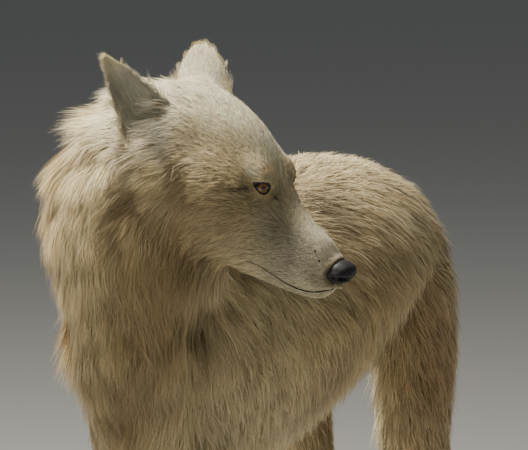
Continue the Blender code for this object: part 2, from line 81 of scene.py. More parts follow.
trunkLow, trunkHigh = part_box("trunk")
bodyPlace = np.array(((trunkLow.x + trunkHigh.x) / 2, trunkLow.y + frames["legsBehindChest"], 0.0))
headPitch = math.radians(frames["headPitch"])
headLeft = unit(middle("eye_left") - middle("eye_right"))
headFront = np.array((headLeft[1], -headLeft[0], 0.0)) * math.cos(headPitch)
headFront = unit(headFront - np.array((0, 0, math.sin(headPitch))))
headUp = np.cross(headFront, headLeft)
headAxes = np.stack((headFront, headLeft, headUp))
headPlace = (middle("eye_left") + middle("eye_right")) / 2
headPlace = headPlace + headFront * frames["headBeforeEyes"] * mm + headUp * frames["headOverEyes"] * mm


def toHead(p):
    return (p - headPlace) @ headAxes.T


def fromHead(q):
    return headPlace + np.asarray(q) @ headAxes


def headPoint(*place):
    return fromHead(np.array(place) * mm)


def lengths(v):
    return np.linalg.norm(v, axis=1)


def circle(n):   # n even steps round
    return np.arange(n) * 2 * math.pi / n


def fade(x, low, high):   # 0 below low, 1 above high, a smooth step between them
    t = np.clip((x - low) / (high - low), 0, 1)
    return t * t * (3 - 2 * t)


def ripples(p, size, seed, terms=7):   # smooth noise near -1..1: the mean of sine waves in random directions
    draw = np.random.default_rng(seed)
    waves = draw.normal(size=(terms, 3)) / size * 1.6
    phase = draw.uniform(0, 2 * math.pi, terms)
    return np.sin(p @ waves.T + phase).sum(1) / math.sqrt(terms)


def numbersOf(text):   # a written table as rows of words and numbers
    return [[x if x[0].isalpha() else float(x) for x in line.split()] for line in text.strip().splitlines()]


def readOff(pairs, x):   # the second value of a short table, where its first is x
    return np.interp(x, *np.array(pairs).T)


# Meshes from arrays

def readOut(items, key, width, kind=float):   # one value of all items as an array
    values = np.empty(len(items) * width, np.int32 if kind is int else np.float32)
    items.foreach_get(key, values)
    return values.reshape(-1, width).astype(kind)


def smoothed(mesh):
    mesh.polygons.foreach_set("use_smooth", np.ones(len(mesh.polygons), bool))


def linked(name, data):
    made = bpy.data.objects.new(name, data)
    bpy.context.scene.collection.objects.link(made)
    return made


def newObject(name, mesh, material):
    made = linked(name, mesh)
    mesh.materials.append(material)
    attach(made, "root")
    return made


def reshaped(mesh, change):
    shape = bmesh.new()
    shape.from_mesh(mesh)
    change(shape)
    shape.to_mesh(mesh)
    shape.free()


def faceOut(shape):
    bmesh.ops.remove_doubles(shape, verts=shape.verts, dist=1e-6)
    bmesh.ops.recalc_face_normals(shape, faces=shape.faces)


def meshFrom(name, points, faces, closed=True):
    mesh = bpy.data.meshes.new(name)
    mesh.from_pydata(np.asarray(points).tolist(), [], faces)
    mesh.update()
    smoothed(mesh)
    if closed:
        reshaped(mesh, faceOut)
    return mesh


def ringFaces(rows, columns, start=0, ends=True):   # quads from ring to ring, and a face over each end
    i, j = np.meshgrid(start + np.arange(rows - 1) * columns, np.arange(columns), indexing="ij")
    k = (j + 1) % columns
    quads = np.stack((i + j, i + k, i + columns + k, i + columns + j), -1).reshape(-1, 4).tolist()
    first, last = (list(range(at, at + columns)) for at in (start, start + (rows - 1) * columns))
    return quads + ([first[::-1], last] if ends else [])


def attribute(mesh, name, values, kind="FLOAT"):
    made = mesh.attributes.new(name, kind, "POINT")
    key = {"FLOAT": "value", "FLOAT_VECTOR": "vector", "FLOAT_COLOR": "color"}[kind]
    made.data.foreach_set(key, np.ascontiguousarray(values, dtype=np.float32).ravel())


def painted(mesh, colour, along):   # what the fur's material reads
    attribute(mesh, "furColour", np.column_stack((colour, np.ones(len(colour)))), "FLOAT_COLOR")
    attribute(mesh, "along", along)


def tubes(name, path, radii, sides, squash=1.0, side=(0, 1, 0)):
    # A round profile carried along each path: points = path + radius (side cos u + squash up sin u)
    # path is (n, rows, 3), radii (n, rows) and the points (n, rows, sides, 3)
    tangent = unit(np.gradient(path, axis=1))
    lateral = unit(np.cross(tangent, np.cross(np.asarray(side, float), tangent)))
    up = np.cross(tangent, lateral)
    u = circle(sides)
    ring = lateral[:, :, None] * np.cos(u)[:, None] + up[:, :, None] * squash * np.sin(u)[:, None]
    ring = path[:, :, None] + radii[..., None, None] * ring
    n, rows = ring.shape[:2]
    faces = sum((ringFaces(rows, sides, k * rows * sides) for k in range(n)), [])
    return meshFrom(name, ring.reshape(-1, 3), faces)


# The skin: copies of the flesh nodes swollen a little, made one body, smoothed, and moved in by the coat's depth.
# Fine: how many cuts an edge gets that lies near these nodes, and how near (mm)

fleshNodes = [n for n in sorted(frame["nodes"]) if not n.startswith(("claw", "eye", "nose"))]
skinMake = {"swell": 0.7 * mm, "voxel": 3.7 * mm, "rounds": 22, "thinned": 0.55, "deepFrom": 5 * mm,
            "tint": (0.66, 0.58, 0.46), "earTint": 0.92, "shadeBelowCoat": 0.35,
            "fine": ((1, (("ear_left", 62), ("ear_right", 66))),
                     (2, (("eye_left", 27), ("eye_right", 27), ("nose", 36))))}


def joinedFlesh():
    shape = bmesh.new()
    for name in fleshNodes + ["eye_left", "eye_right", "nose"]:   # eyes and nose only fill their hollows
        part = bmesh.new()
        part.from_mesh(frame["nodes"][name].data)
        bmesh.ops.remove_doubles(part, verts=part.verts, dist=1e-5)
        part.normal_update()
        for v in part.verts:
            v.co += v.normal * skinMake["swell"]
        spare = bpy.data.meshes.new("spare")
        part.to_mesh(spare)
        part.free()
        shape.from_mesh(spare)
        bpy.data.meshes.remove(spare)
    mesh = bpy.data.meshes.new("flesh")
    shape.to_mesh(mesh)
    shape.free()
    return mesh


def evaluated(thing):
    graph = bpy.context.evaluated_depsgraph_get()
    return bpy.data.meshes.new_from_object(thing.evaluated_get(graph), depsgraph=graph)


def remeshed(mesh):
    holder = linked("flesh", mesh)
    fused = holder.modifiers.new("fused", "REMESH")
    fused.mode = "VOXEL"
    fused.voxel_size = skinMake["voxel"]
    made = evaluated(holder)
    bpy.data.objects.remove(holder)
    return made


def refined(mesh):
    for cuts, spots in skinMake["fine"]:
        corners = readOut(mesh.vertices, "co", 3)
        near = np.any([lengths(corners - middle(node)) < reach * mm for node, reach in spots], axis=0)

        def cut(shape):
            chosen = [e for e in shape.edges if near[e.verts[0].index] and near[e.verts[1].index]]
            bmesh.ops.subdivide_edges(shape, edges=chosen, cuts=cuts, use_grid_fill=True)
        reshaped(mesh, cut)
    return mesh


skinMesh = refined(remeshed(joinedFlesh()))
skinMesh.name = "skin"
count = len(skinMesh.vertices)
outer = readOut(skinMesh.vertices, "co", 3)
edgeA, edgeB = readOut(skinMesh.edges, "vertices", 2, int).T
degree = np.bincount(np.concatenate((edgeA, edgeB)), minlength=count)[:, None]


def neighbourMean(values):
    total = np.stack([np.bincount(edgeA, values[edgeB, i], count) + np.bincount(edgeB, values[edgeA, i], count)
                      for i in range(values.shape[1])], 1)
    return total / degree


def relaxed(values, rounds, back=-0.53):   # towards the neighbours' mean, then part of the way back
    for _ in range(rounds):
        values = values + 0.6 * (neighbourMean(values) - values)
        if back:
            values = values + back * (neighbourMean(values) - values)
    return values


def skinMoved(points):   # the skin's points put in place; gives their normals
    skinMesh.vertices.foreach_set("co", points.astype(np.float32).ravel())
    skinMesh.update()
    return readOut(skinMesh.vertices, "normal", 3)


# Eyelids: a soft collar round an almond opening. The same collar shapes the skin near each eye.
# Rings: how far out from the opening, how high over the eyeball (mm), how black. Skin: how far out, how high (mm).
# Ridge: its place over the eye (mm), the way it rises, its height and its width

lidMake = {"wide": 1.02, "over": 0.54, "under": 0.48, "skew": 0.40, "facing": (0.72, 0.68, 0.10), "tilt": 0.02,
           "widens": 0.55, "opens": 1.1, "wall": 0.5 * mm, "set": (0.37, -0.88, -0.30), "setIn": 3.0, "reach": 26 * mm,
           "cornersLow": 0.04, "columns": 72, "black": (0.012, 0.010, 0.009),
           "ridge": ((-9, 38, 9), (0.35, 0.75, 0.45), 2.2 * mm, 9 * mm),
           "rings": ((0.84, -0.9, 1.0), (0.94, 0.00, 1.0), (0.99, 0.60, 1.0), (1.06, 1.00, 1.0), (1.12, 1.10, 0.9),
                     (1.20, 1.00, 0.6), (1.34, 0.50, 0.25), (1.52, -0.5, 0.0)),
           "skin": ((0.9, -0.6), (1.05, -0.1), (1.15, 0.3), (1.30, 1.0), (1.6, 1.3), (3.2, 0.8))}
eyeGap = 0.1 * mm
eyeRadius = (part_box("eye_left")[1].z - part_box("eye_left")[0].z) / 2 + eyeGap
eyeSides = (("eye_left", 1), ("eye_right", -1))


def fromSide(vector, sign):   # a direction in the head's frame, given for the left side
    return unit(np.array((vector[0], vector[1] * sign, vector[2]))) @ headAxes


def lidFrame(sign):
    facing = fromSide(lidMake["facing"], sign)
    ahead = unit(headFront + lidMake["tilt"] * headUp)
    ahead = unit(ahead - facing * (ahead @ facing))
    top = np.cross(facing, ahead)
    return facing, ahead, top if top @ headUp > 0 else -top


def eyeCentre(node, sign):   # a little deeper than the node, behind the lid
    return middle(node) + fromSide(lidMake["set"], sign) * lidMake["setIn"] * mm


def lidScale(p, node, sign):
    # Which ring of the collar a point stands on, its distance and direction from the eyeball's middle, its height,
    # and whether it lies near the eye at all
    facing, ahead, top = lidFrame(sign)
    rel = p - eyeCentre(node, sign)
    away = lengths(rel)
    direction = rel / np.maximum(away, 1e-9)[:, None]
    level = np.arcsin(np.clip(direction @ top, -1, 1))
    across = np.arctan2(direction @ ahead, direction @ facing)
    scales = np.linspace(0.5, 3.2, 80)
    rise = np.where(level > 0, lidMake["over"], lidMake["under"])
    rise = rise * (1 + lidMake["skew"] * np.clip(across / lidMake["wide"], -1, 1))
    fill = (np.abs(across[:, None]) / (lidMake["wide"] * (1 + (scales - 1) * lidMake["widens"]))) ** 2
    power = 2 - 0.5 * fade(-scales, -1.6, -1.0)
    fill = fill + (np.abs(level[:, None]) / (rise[:, None] * (1 + (scales - 1) * lidMake["opens"]))) ** power
    near = (away < lidMake["reach"]) & (direction @ facing > -0.25)
    return scales[np.minimum((fill > 1).sum(1), 79)], away, direction, level, near


def withSockets(p):
    # Inside the opening the skin sinks behind the eyeball; round it the face comes in to the lid's height, and where
    # the face lies deeper than the lid the lid carries it. A low ridge stands over the eye
    for node, sign in eyeSides:
        scale, away, direction, level, near = lidScale(p, node, sign)
        lid = readOff(lidMake["skin"], scale) * (1 + 0.5 * np.clip(level / lidMake["over"], 0, 1))
        lid = eyeRadius + lid * mm
        come = 1 - fade(scale, 1.15, 2.2)
        reach = np.where(away > lid, away + (lid - away) * come, lid)
        reach = np.where(scale < 1.0, np.minimum(away, eyeRadius - 3 * mm), reach)
        p = p + (eyeCentre(node, sign) + direction * reach[:, None] - p) * near[:, None]
        (ahead, aside, over), lift, high, wide = lidMake["ridge"]
        away = ((p - headPoint(ahead, aside * sign, over)) ** 2).sum(1) / wide ** 2
        p = p + fromSide(lift, sign) * (high * np.exp(-away) * (scale > 1.2))[:, None]
    return p


# The muzzle's end: as wide as the pad (place ahead, half width in mm), with a bed that the pad sits in

nosePad = {"centre": (98.5, 0, -45.5), "half": (13.8, 17.0, 15.5), "lean": 0.38,
           "wide": ((70, 27), (80, 23.5), (88, 19.5), (93, 17), (100, 14.5), (110, 10)),
           "narrowed": 0.85, "lowered": 1.8 * mm, "bed": 0.52, "chinWider": 5 * mm}


def padReach(q):   # 1 on the pad's own outline, less inside it; q in the head's frame
    place = (q / mm - nosePad["centre"]) / nosePad["half"]
    place[:, 0] -= nosePad["lean"] * place[:, 2]
    return lengths(place)


def withMuzzleEnd(p):
    q = toHead(p)
    here = (q[:, 0] > 55 * mm) & (lengths(q) < 160 * mm)
    limit = readOff(nosePad["wide"], q[:, 0] / mm) * mm
    limit = limit + nosePad["chinWider"] * fade(-q[:, 2], 52 * mm, 66 * mm)
    over = np.maximum(np.abs(q[:, 1]) - limit, 0) * here
    q[:, 1] -= np.sign(q[:, 1]) * over * nosePad["narrowed"]
    q[:, 2] -= nosePad["lowered"] * fade(q[:, 0], 74 * mm, 90 * mm) * fade(q[:, 2], -44 * mm, -34 * mm)
    centre = np.array(nosePad["centre"]) * mm
    away = padReach(q)
    target = (q - centre) * (np.minimum(away, nosePad["bed"]) / np.maximum(away, 1e-6))[:, None] + centre
    ahead = 0.9 * fade(q[:, 0], 92 * mm, 99 * mm) * fade(q[:, 2], -60 * mm, -54 * mm)
    q += (target - q) * (1 - fade(away, 0.97 + ahead, 1.07 + ahead))[:, None]
    return fromHead(q)


outer = relaxed(outer, skinMake["rounds"])
outer = withMuzzleEnd(withSockets(outer))
normal = unit(relaxed(skinMoved(outer), 2, 0))
inHead = toHead(outer)
print("skin fused:", count, "points,", 2 * len(skinMesh.polygons), "triangles")


def areasOf(points, corners):
    a, b, c = points[corners.T]
    return lengths(np.cross(b - a, c - a)) / 2


def cornerShares(draw, number):   # random places inside triangles, as shares of the three corners
    u, v = draw.random((2, number))
    u, v = np.where(u + v > 1, 1 - u, u), np.where(u + v > 1, 1 - v, v)
    return np.stack((1 - u - v, u, v), 1)[..., None]


# Ears: which skin points belong to each, and whether they face its hollow. Directions and places in the head's frame

ears = {
    "ear_right": {"root": (-104, -60, -20), "tip": (-202, -86, 33), "open": (0.41, -0.76, 0.39)},
    "ear_left": {"root": (-118, 52, -22), "tip": (-170, 65, 56), "open": (0.10, 1.00, 0.10)},
}
earMake = {"hollow": 1.8 * mm, "rimRounds": 16, "hollowRounds": 5, "samples": 4000, "fuller": 1.4, "tint": 0.8}


def earPoints(name, at):
    root, tip = np.array(at["root"]) * mm, np.array(at["tip"]) * mm
    length = np.linalg.norm(tip - root)
    along = (tip - root) / length
    hollow = np.array(at["open"])
    hollow = unit(hollow - along * (hollow @ along))
    mesh = frame["nodes"][name].data
    mesh.calc_loop_triangles()
    corners = readOut(mesh.vertices, "co", 3)
    tri = readOut(mesh.loop_triangles, "vertices", 3, int)
    area = areasOf(corners, tri)
    draw = np.random.default_rng(seeds["ears"])
    pick = draw.choice(len(tri), earMake["samples"], p=area / area.sum())
    samples = (corners[tri[pick]] * cornerShares(draw, earMake["samples"])).sum(1)
    low, high = samples.min(0) - 4 * mm, samples.max(0) + 4 * mm
    near = np.flatnonzero(np.all((outer > low) & (outer < high), axis=1))
    gap = np.full(count, 1.0)
    for some in np.array_split(near, max(len(near) // 500, 1)):
        gap[some] = np.sqrt(((outer[some, None] - samples[None]) ** 2).sum(2).min(1))
    t = (inHead - root) @ along / length
    facing = (normal @ headAxes.T) @ hollow
    return {"mask": (1 - fade(gap, 1.6 * mm, 3.4 * mm)) * fade(t, 0.10, 0.26), "t": t, "along": along @ headAxes,
            "around": (1 - fade(gap, 3 * mm, 7 * mm)) * fade(t, -0.10, 0.08), "hollow": hollow @ headAxes,
            "inside": fade(facing, -0.15, 0.25)}


earAt = [earPoints(name, at) for name, at in ears.items()]
for at in earAt:   # an even rim
    outer += (relaxed(outer, earMake["rimRounds"], 0) - outer) * at["around"][:, None]
normal = unit(relaxed(skinMoved(outer), 2, 0))
skinMesh.calc_loop_triangles()
triangles = readOut(skinMesh.loop_triangles, "vertices", 3, int)
earHollowShade = np.zeros(count)
for at in earAt:
    facing = at["mask"][:, None] * dot(normal, at["hollow"])
    for _ in range(earMake["hollowRounds"]):   # falls towards the rim, where the front and the back meet
        facing = neighbourMean(facing)
    hollow = fade(facing[:, 0], 0.45, 0.80) * fade(1 - at["t"], 0.05, 0.30)
    outer -= at["hollow"] * (earMake["hollow"] * hollow)[:, None]
    # the ear's hollow, where its greyer inner hair is also darkened as painted shade
    earHollowShade = np.maximum(earHollowShade, hollow * fade(at["t"], 0.25, 0.60))
earMask = np.max([at["mask"] for at in earAt], axis=0)
print("ears found:", [int((at["mask"] > 0.5).sum()) for at in earAt])

# The lie of the coat. Each kind of fur has its length, depth over the skin, hair width (mm), how many layers
# cover each other, how untidy it lies (degrees), how far tips draw together in locks, its wave and its droop

furFields = ("long", "deep", "wide", "cover", "mess", "lock", "wave", "droop")
furKinds = {row[0]: row[1:] for row in numbersOf("""
muzzle 4.6 1.1 .55 3.6 9 0 .02 0
face 6.5 1.7 .58 4.4 11 .05 .03 0
brow 8 2 .6 5 13 .1 .04 0
crown 15 4.5 .62 8 18 .25 .06 0
cheek 13 3 .6 7.5 13 .2 .04 .03
cheekRuff 32 9 .53 13 15 .4 .05 .08
chin 8.5 2 .6 5 12 .1 .03 .05
throat 34 10 .58 13 15 .4 .05 .1
ruff 56 20 .55 19 14 .45 .06 .08
nape 46 16 .57 16 16 .4 .06 .05
chest 56 19 .75 12 16 .45 .07 .12
back 40 12 .95 4.4 9 .35 .03 .05
flank 46 14 .95 4.3 10 .45 .04 .12
belly 58 16 1 4.8 17 .55 .06 .4
shoulder 40 12 .95 5.6 14 .35 .05 .1
rump 40 13 1 4.6 15 .35 .05 .1
thigh 32 10 1.05 4 13 .3 .05 .1
upperLeg 18 5 1.15 3.6 12 .2 .04 .05
leg 11 2.4 1.15 2.9 12 .1 .03 0
paw 9 2.4 1 3.2 15 .15 .03 0
tail 54 18 1.15 5.5 16 .4 .06 .1
tailTip 42 10 1.15 5.5 15 .35 .05 .05
earBack 4.6 .6 .55 4.4 7 0 .02 0
earInside 8.5 1.1 .5 4.6 12 .2 .05 0
""")}

# Combing spots by frame: place (mm), reach (mm), lie, kind. Spots of head and body that lie beside the middle stand
# for both sides; the lie is given for the left one

mirrored = {"head": 1, "body": 0}   # which of the frame's axes goes from side to side
combSpots = {"head": """
60 0 -22 24 -1 0 .05 muzzle
66 20 -46 22 -1 .1 -.22 muzzle
62 20 -70 18 -.75 .1 -.65 muzzle
90 12 -58 18 -.8 .25 -.5 muzzle
80 8 -90 20 -1 0 -.1 muzzle
40 24 -60 20 -1 .12 -.35 muzzle
30 14 -14 20 -1 .1 .15 muzzle
4 0 2 20 -1 0 .35 face
12 32 -36 20 -1 .2 -.4 face
40 15 -96 22 -1 .05 -.2 chin
10 22 -102 24 -1 .1 -.3 chin
12 34 0 12 -.8 .2 .55 face
-8 34 14 15 -.9 .25 .4 face
-8 42 -20 14 -1 .25 -.35 face
-26 45 0 14 -1 .3 0 face
-25 0 22 22 -1 0 .25 brow
-55 0 34 24 -1 0 .12 brow
-45 30 22 20 -1 .12 .1 brow
-20 44 -50 24 -1 .2 -.55 face
-45 52 -22 24 -1 .2 -.3 cheek
-55 58 -55 28 -.85 .25 -.6 cheek
-72 48 20 20 -1 .15 .05 brow
-90 0 44 24 -1 0 .02 crown
-125 0 44 24 -1 0 -.25 crown
-95 72 -45 28 -.75 .4 -.55 cheekRuff
-100 78 -85 32 -.6 .45 -.75 cheekRuff
-60 40 -105 26 -.8 .2 -.65 throat
-30 14 -115 24 -.95 .05 -.4 throat
-105 20 -125 34 -.65 .05 -.8 throat
-140 58 5 26 -.95 .25 -.45 cheekRuff
-165 0 22 30 -.9 0 -.5 nape
""", "neck": """
-90 -50 790 45 -.45 -.05 -.9 ruff
-80 45 800 50 -.35 .6 -.75 nape
-95 -30 700 60 -.2 .05 -1 ruff
-60 -110 760 50 -.25 -.35 -.95 ruff
-30 -140 690 60 -.05 -.2 -1 ruff
50 -120 690 60 .1 -.1 -1 ruff
60 -120 760 40 -.15 -.15 -1 throat
95 -10 740 50 0 .35 -.95 ruff
60 70 790 50 -.1 .85 -.45 nape
-10 80 805 50 -.1 1 -.3 nape
""", "body": """
0 -130 600 60 0 -.05 -1 chest
60 -100 590 60 .05 .1 -1 chest
0 -80 500 50 0 .15 -1 chest
0 170 790 80 0 1 -.12 back
0 330 780 90 0 1 -.1 back
0 480 770 80 0 1 -.18 back
110 130 700 70 .1 .85 -.55 shoulder
100 60 620 70 .1 .45 -.9 shoulder
125 250 680 80 .05 .85 -.55 flank
125 400 680 80 .05 .8 -.6 flank
125 200 560 80 0 .6 -.8 flank
125 350 560 80 0 .6 -.8 flank
60 150 450 60 0 .65 -.8 belly
0 150 430 60 0 .9 -.5 belly
60 300 470 60 0 .6 -.8 belly
0 300 460 60 0 .9 -.5 belly
60 430 500 60 0 .55 -.8 belly
0 450 500 60 0 .8 -.6 belly
0 590 745 60 0 1 -.35 rump
85 560 690 60 .05 .65 -.8 rump
80 650 620 50 0 .35 -1 rump
35 690 560 40 0 .1 -1 rump
70 20 500 50 0 .25 -1 upperLeg
45 60 450 35 0 .5 -1 upperLeg
45 10 400 50 0 .12 -1 upperLeg
42 0 310 50 0 .08 -1 leg
42 0 220 50 0 .05 -1 leg
44 -5 130 50 0 -.05 -1 leg
50 -10 60 28 0 -.4 -1 leg
50 -60 30 32 0 -.95 -.5 paw
100 580 560 60 .05 .25 -1 thigh
75 660 480 50 0 .3 -1 thigh
80 540 480 50 0 .3 -1 thigh
40 580 480 40 0 .2 -1 thigh
74 600 400 45 0 .35 -1 upperLeg
72 640 320 45 0 .35 -1 upperLeg
68 676 250 40 0 .05 -1 leg
66 674 160 50 0 -.15 -1 leg
62 650 70 30 0 -.5 -1 leg
62 590 30 32 0 -.95 -.5 paw
0 700 690 35 0 .7 -.75 rump
0 755 600 45 0 .3 -1 tail
0 765 500 50 0 .1 -1 tail
0 760 400 50 0 0 -1 tail
0 757 320 40 0 0 -1 tailTip
"""}


def bothSides(table):   # frame, place and the other values of each row, and of its copy on the other side
    rows = []
    for where, text in table.items():
        side = mirrored.get(where)
        for row in numbersOf(text):
            rows.append((where, np.array(row[:3]) * mm, row[3:]))
            if side is not None and row[side]:
                turned = [-x if i == side else x for i, x in enumerate(row[:3])]
                rows.append((where, np.array(turned) * mm, row[3:]))
    return rows


def combedFields():
    # At each skin point the spots are weighed by exp(-(distance / reach)^2) and their lies and kinds are mixed
    places, lies, kinds, reach = [], [], [], []
    for where, place, (near, *lie, kind) in bothSides(combSpots):
        if where in mirrored:
            lie[mirrored[where]] *= np.sign(place[mirrored[where]])
        lie = unit(np.array(lie))
        places.append(fromHead(place) if where == "head" else place + bodyPlace)
        lies.append(lie @ headAxes if where == "head" else lie)
        kinds.append(furKinds[kind])
        reach.append(near)
    reach = np.array(reach) * mm
    away = ((outer[:, None] - np.array(places)[None]) ** 2).sum(2) / reach ** 2
    weight = np.exp(-away) + 1e-7 / (away + 1) ** 4
    weight /= weight.sum(1, keepdims=True)
    return weight @ np.array(lies), weight @ np.array(kinds)


def laidOn(up, v):   # v without the part that stands off the skin
    return v - up * dot(v, up)


lie, kindMix = combedFields()
fur = {key: kindMix[:, i].copy() for i, key in enumerate(furFields)}
for at in earAt:
    for key, back, inside in zip(furFields, furKinds["earBack"], furKinds["earInside"]):
        earValue = back + (inside - back) * at["inside"]
        if key in ("long", "deep"):   # fuller where the ear comes out of the head
            earValue = earValue * (1 + earMake["fuller"] * fade(at["t"], 0.0, 0.12) * (1 - fade(at["t"], 0.30, 0.80)))
        fur[key] += (earValue - fur[key]) * at["mask"]
    lie += (at["along"] - lie) * at["mask"][:, None]

wander = np.stack([ripples(outer, 0.045, seed) for seed in seeds["lie"]], 1)
lie = laidOn(normal, lie + 0.16 * wander * fade(fur["long"], 8, 40)[:, None])
lie = unit(relaxed(unit(lie), 2, 0))
lie = unit(laidOn(normal, lie))

for key in ("long", "deep", "wide"):
    fur[key] = fur[key] * mm
fur["long"] *= 1 + 0.12 * ripples(outer, 0.030, seeds["long"])
fur["deep"] *= 1 + 0.10 * ripples(outer, 0.040, seeds["deep"])
for node, sign in eyeSides:
    scale, away = lidScale(outer, node, sign)[:2]
    fur["deep"] *= 1 - (1 - 0.9 * fade(scale, 1.1, 2.6)) * (away < 22 * mm) * (1 - fade(away, 16 * mm, 22 * mm))
fur["deep"] *= 0.1 + 0.9 * fade(padReach(inHead), 1.0, 1.7)

# How fast the body turns away below the hair: the change of the normal along the lie, from each edge

ends = np.concatenate((edgeA, edgeB))
share, bend = (np.concatenate([((field[edgeB] - field[edgeA]) * lie[a]).sum(1) for a in (edgeA, edgeB)])
               for field in (outer, normal))
curve = np.bincount(ends, share * bend, count) / np.maximum(np.bincount(ends, share ** 2, count), 1e-12)
curve = np.clip(relaxed(curve[:, None], 6, 0)[:, 0], -12, 30)

inner = outer - normal * fur["deep"][:, None]
deepShare = fade(fur["deep"], 3 * mm, 12 * mm)[:, None]
for _ in range(10):
    inner = inner + deepShare * 0.6 * (neighbourMean(inner) - inner)
print("coat combed: depth", round(fur["deep"].min() / mm, 1), "to", round(fur["deep"].max() / mm, 1), "mm")

# Markings: a base colour and soft patches over it, the same for skin and coat (screen values 0..255).
# Patches by frame: place (mm), reach each way (mm), colour, strength

# ear: the colour of the ear's hollow, greyer inner hair darkened further as painted shade
markings = {"base": (236, 218, 172), "ear": (196, 190, 172), "streak": (122, 98, 66), "noseEdge": (24, 22, 21)}
# Painted shade among the body's patches: the chest row (0 -110 560) is tan fur darkened further by painted shade, and
# the row at 95 290 550 is a painted shadow on the flank behind the head
# Painted shade among the head's patches: the rows at 30 30 -35 and 14 24 -2 darken the hollow before and under the eye;
# the row at 12 27 -10 is the dark skin of the inner eye corner with painted shade over it; the rows at -93 68 -7 and
# -104 72 1 are the black of the ear's opening, painted shade; the row at -100 98 -66 is a painted shadow in the crease
# behind the cheek ruff; the cheek and throat rows (-45 56 -38, -70 40 -95) are tan fur darkened further by painted
# shade
patches = {"head": """
60 0 -50 46 40 42 224 222 208 .9
-95 0 40 60 75 34 248 241 212 .95
-30 0 24 40 26 20 242 237 212 .85
-45 56 -38 42 26 34 152 126 82 .85
-70 40 -95 50 40 30 142 116 74 .88
30 30 -35 30 14 22 158 150 126 .7
84 0 -92 26 20 14 190 188 172 .6
-13 44 5 10 9 4.5 244 236 212 .85
12 27 -10 4.5 5 3.2 46 38 32 .85
14 24 -2 9 9 10 112 100 80 .55
-12 48 -10 3.4 5 1.9 36 29 24 .9
-14 54 -12.5 3.4 6 1.9 42 34 28 .85
-17 60 -15 3.6 5 1.9 58 48 38 .75
-93 68 -7 9 26 7 22 17 13 1
-104 72 1 9 26 9 22 17 13 1
-100 98 -66 11 36 32 70 50 28 .95
-128 66 -32 10 12 14 232 222 198 .5
-145 66 14 40 34 46 250 246 226 .85
""", "neck": """
-80 -60 740 70 70 120 200 172 120 .75
40 -120 700 70 60 90 176 146 94 .75
""", "body": """
0 -110 560 60 60 90 140 110 66 .8
0 150 790 90 160 60 206 182 126 .6
88 255 738 26 50 34 108 98 76 .75
95 290 550 60 75 60 140 112 72 .6
125 400 600 50 80 90 196 158 104 .5
120 250 620 70 200 90 216 186 124 .6
90 560 520 50 70 120 192 146 90 .65
72 640 330 40 50 90 196 152 100 .6
45 0 200 50 60 220 236 226 200 .7
0 765 330 50 50 60 176 152 118 .5
"""}


def linear(colour):   # from screen values
    c = np.asarray(colour, float) / 255
    return np.where(c < 0.04045, c / 12.92, ((c + 0.055) / 1.055) ** 2.4)


def tinted(colour, tint, share):
    return colour + (linear(tint) - colour) * share[:, None]


def markedColour(p, hollow):
    colour = np.tile(linear(markings["base"]), (len(p), 1))
    head, body = toHead(p), p - bodyPlace
    for where, place, row in bothSides(patches):
        reach, tint, strength = np.array(row[:3]) * mm, row[3:6], row[6]
        away = ((((head if where == "head" else body) - place) / reach) ** 2).sum(1)
        colour = tinted(colour, tint, strength * np.exp(-away))
    # painted shade in the ear's hollow, over its greyer inner hair
    colour = tinted(colour, markings["ear"], earMake["tint"] * hollow)
    colour = tinted(colour, markings["noseEdge"], 0.95 * (1 - fade(padReach(head), 1.06, 1.34)))
    wide, small = seeds["tint"]
    return colour * (1 + 0.06 * ripples(p, 0.035, wide) + 0.05 * ripples(p, 0.012, small))[:, None]

# Roots: places drawn on the skin, thicker where the fur is short and fine, none on nose, lips and soles

coatMake = {"amount": 0.86, "mostTriangles": 199000, "longFrom": 16 * mm, "rowsShort": 2, "rowsLong": 3,
            "fewest": 20, "lipGap": 0.15 * mm, "fromLid": 1.09, "fromPad": 1.0}


def plantedRoots():
    draw = np.random.default_rng(seeds["roots"])
    bare = (outer[:, 2] < 4 * mm) * (normal[:, 2] < -0.6)
    grows = fade(padReach(inHead), 0.98, 1.06) * (1 - bare)
    thick = fur["cover"] / (0.75 * fur["wide"] * fur["long"]) * grows * coatMake["amount"]
    a, b, c = triangles.T
    wanted = areasOf(outer, triangles) * (thick[a] + thick[b] + thick[c]) / 3
    number = int(wanted.sum())
    pick = np.searchsorted(np.cumsum(wanted), (np.arange(number) + draw.random(number)) * wanted.sum() / number)
    pick = np.minimum(pick, len(triangles) - 1)
    share = cornerShares(draw, number)
    wide = {"place": inner, "skin": outer, "up": normal, "lie": lie}
    single = {"curve": curve, "ear": earMask, "hollow": earHollowShade, **fur}
    roots = {k: (v[triangles[pick]] * share).sum(1) for k, v in wide.items()}
    roots.update({k: unit(roots[k]) for k in ("up", "lie")})
    roots.update({k: (v[triangles[pick]] * share[..., 0]).sum(1) for k, v in single.items()})
    return roots


# Lips: a dark line from under the nose to the corner of the mouth (mm ahead and up in the head's frame; then the
# place along it and its half width)

lipMake = {"line": ((106, -59), (101, -64), (94, -70), (86, -75), (74, -78.5), (60, -79.5), (44, -78.5), (30, -77),
                    (20, -78.5), (14, -83)), "points": 40,
           "half": ((0, 0.8), (0.1, 0.9), (0.3, 0.65), (0.6, 0.42), (0.9, 0.30), (1, 0.12))}
outlineTree = BVHTree.FromPolygons(outer.tolist(), triangles.tolist())


def onSide(a, c, sign):   # the outline's point beside (a, c) of the head
    start = Vector(headPoint(a, sign * 90, c))
    hit = outlineTree.ray_cast(start, Vector(-sign * headLeft))[0]
    return np.array(hit) if hit is not None else headPoint(a, 0, c)


def evened(columns):   # each value becomes the mean of five neighbours
    columns = np.asarray(columns, float).T
    return np.stack([np.convolve(np.pad(x, 2, mode="edge"), np.ones(5) / 5, "valid") for x in columns], 1)


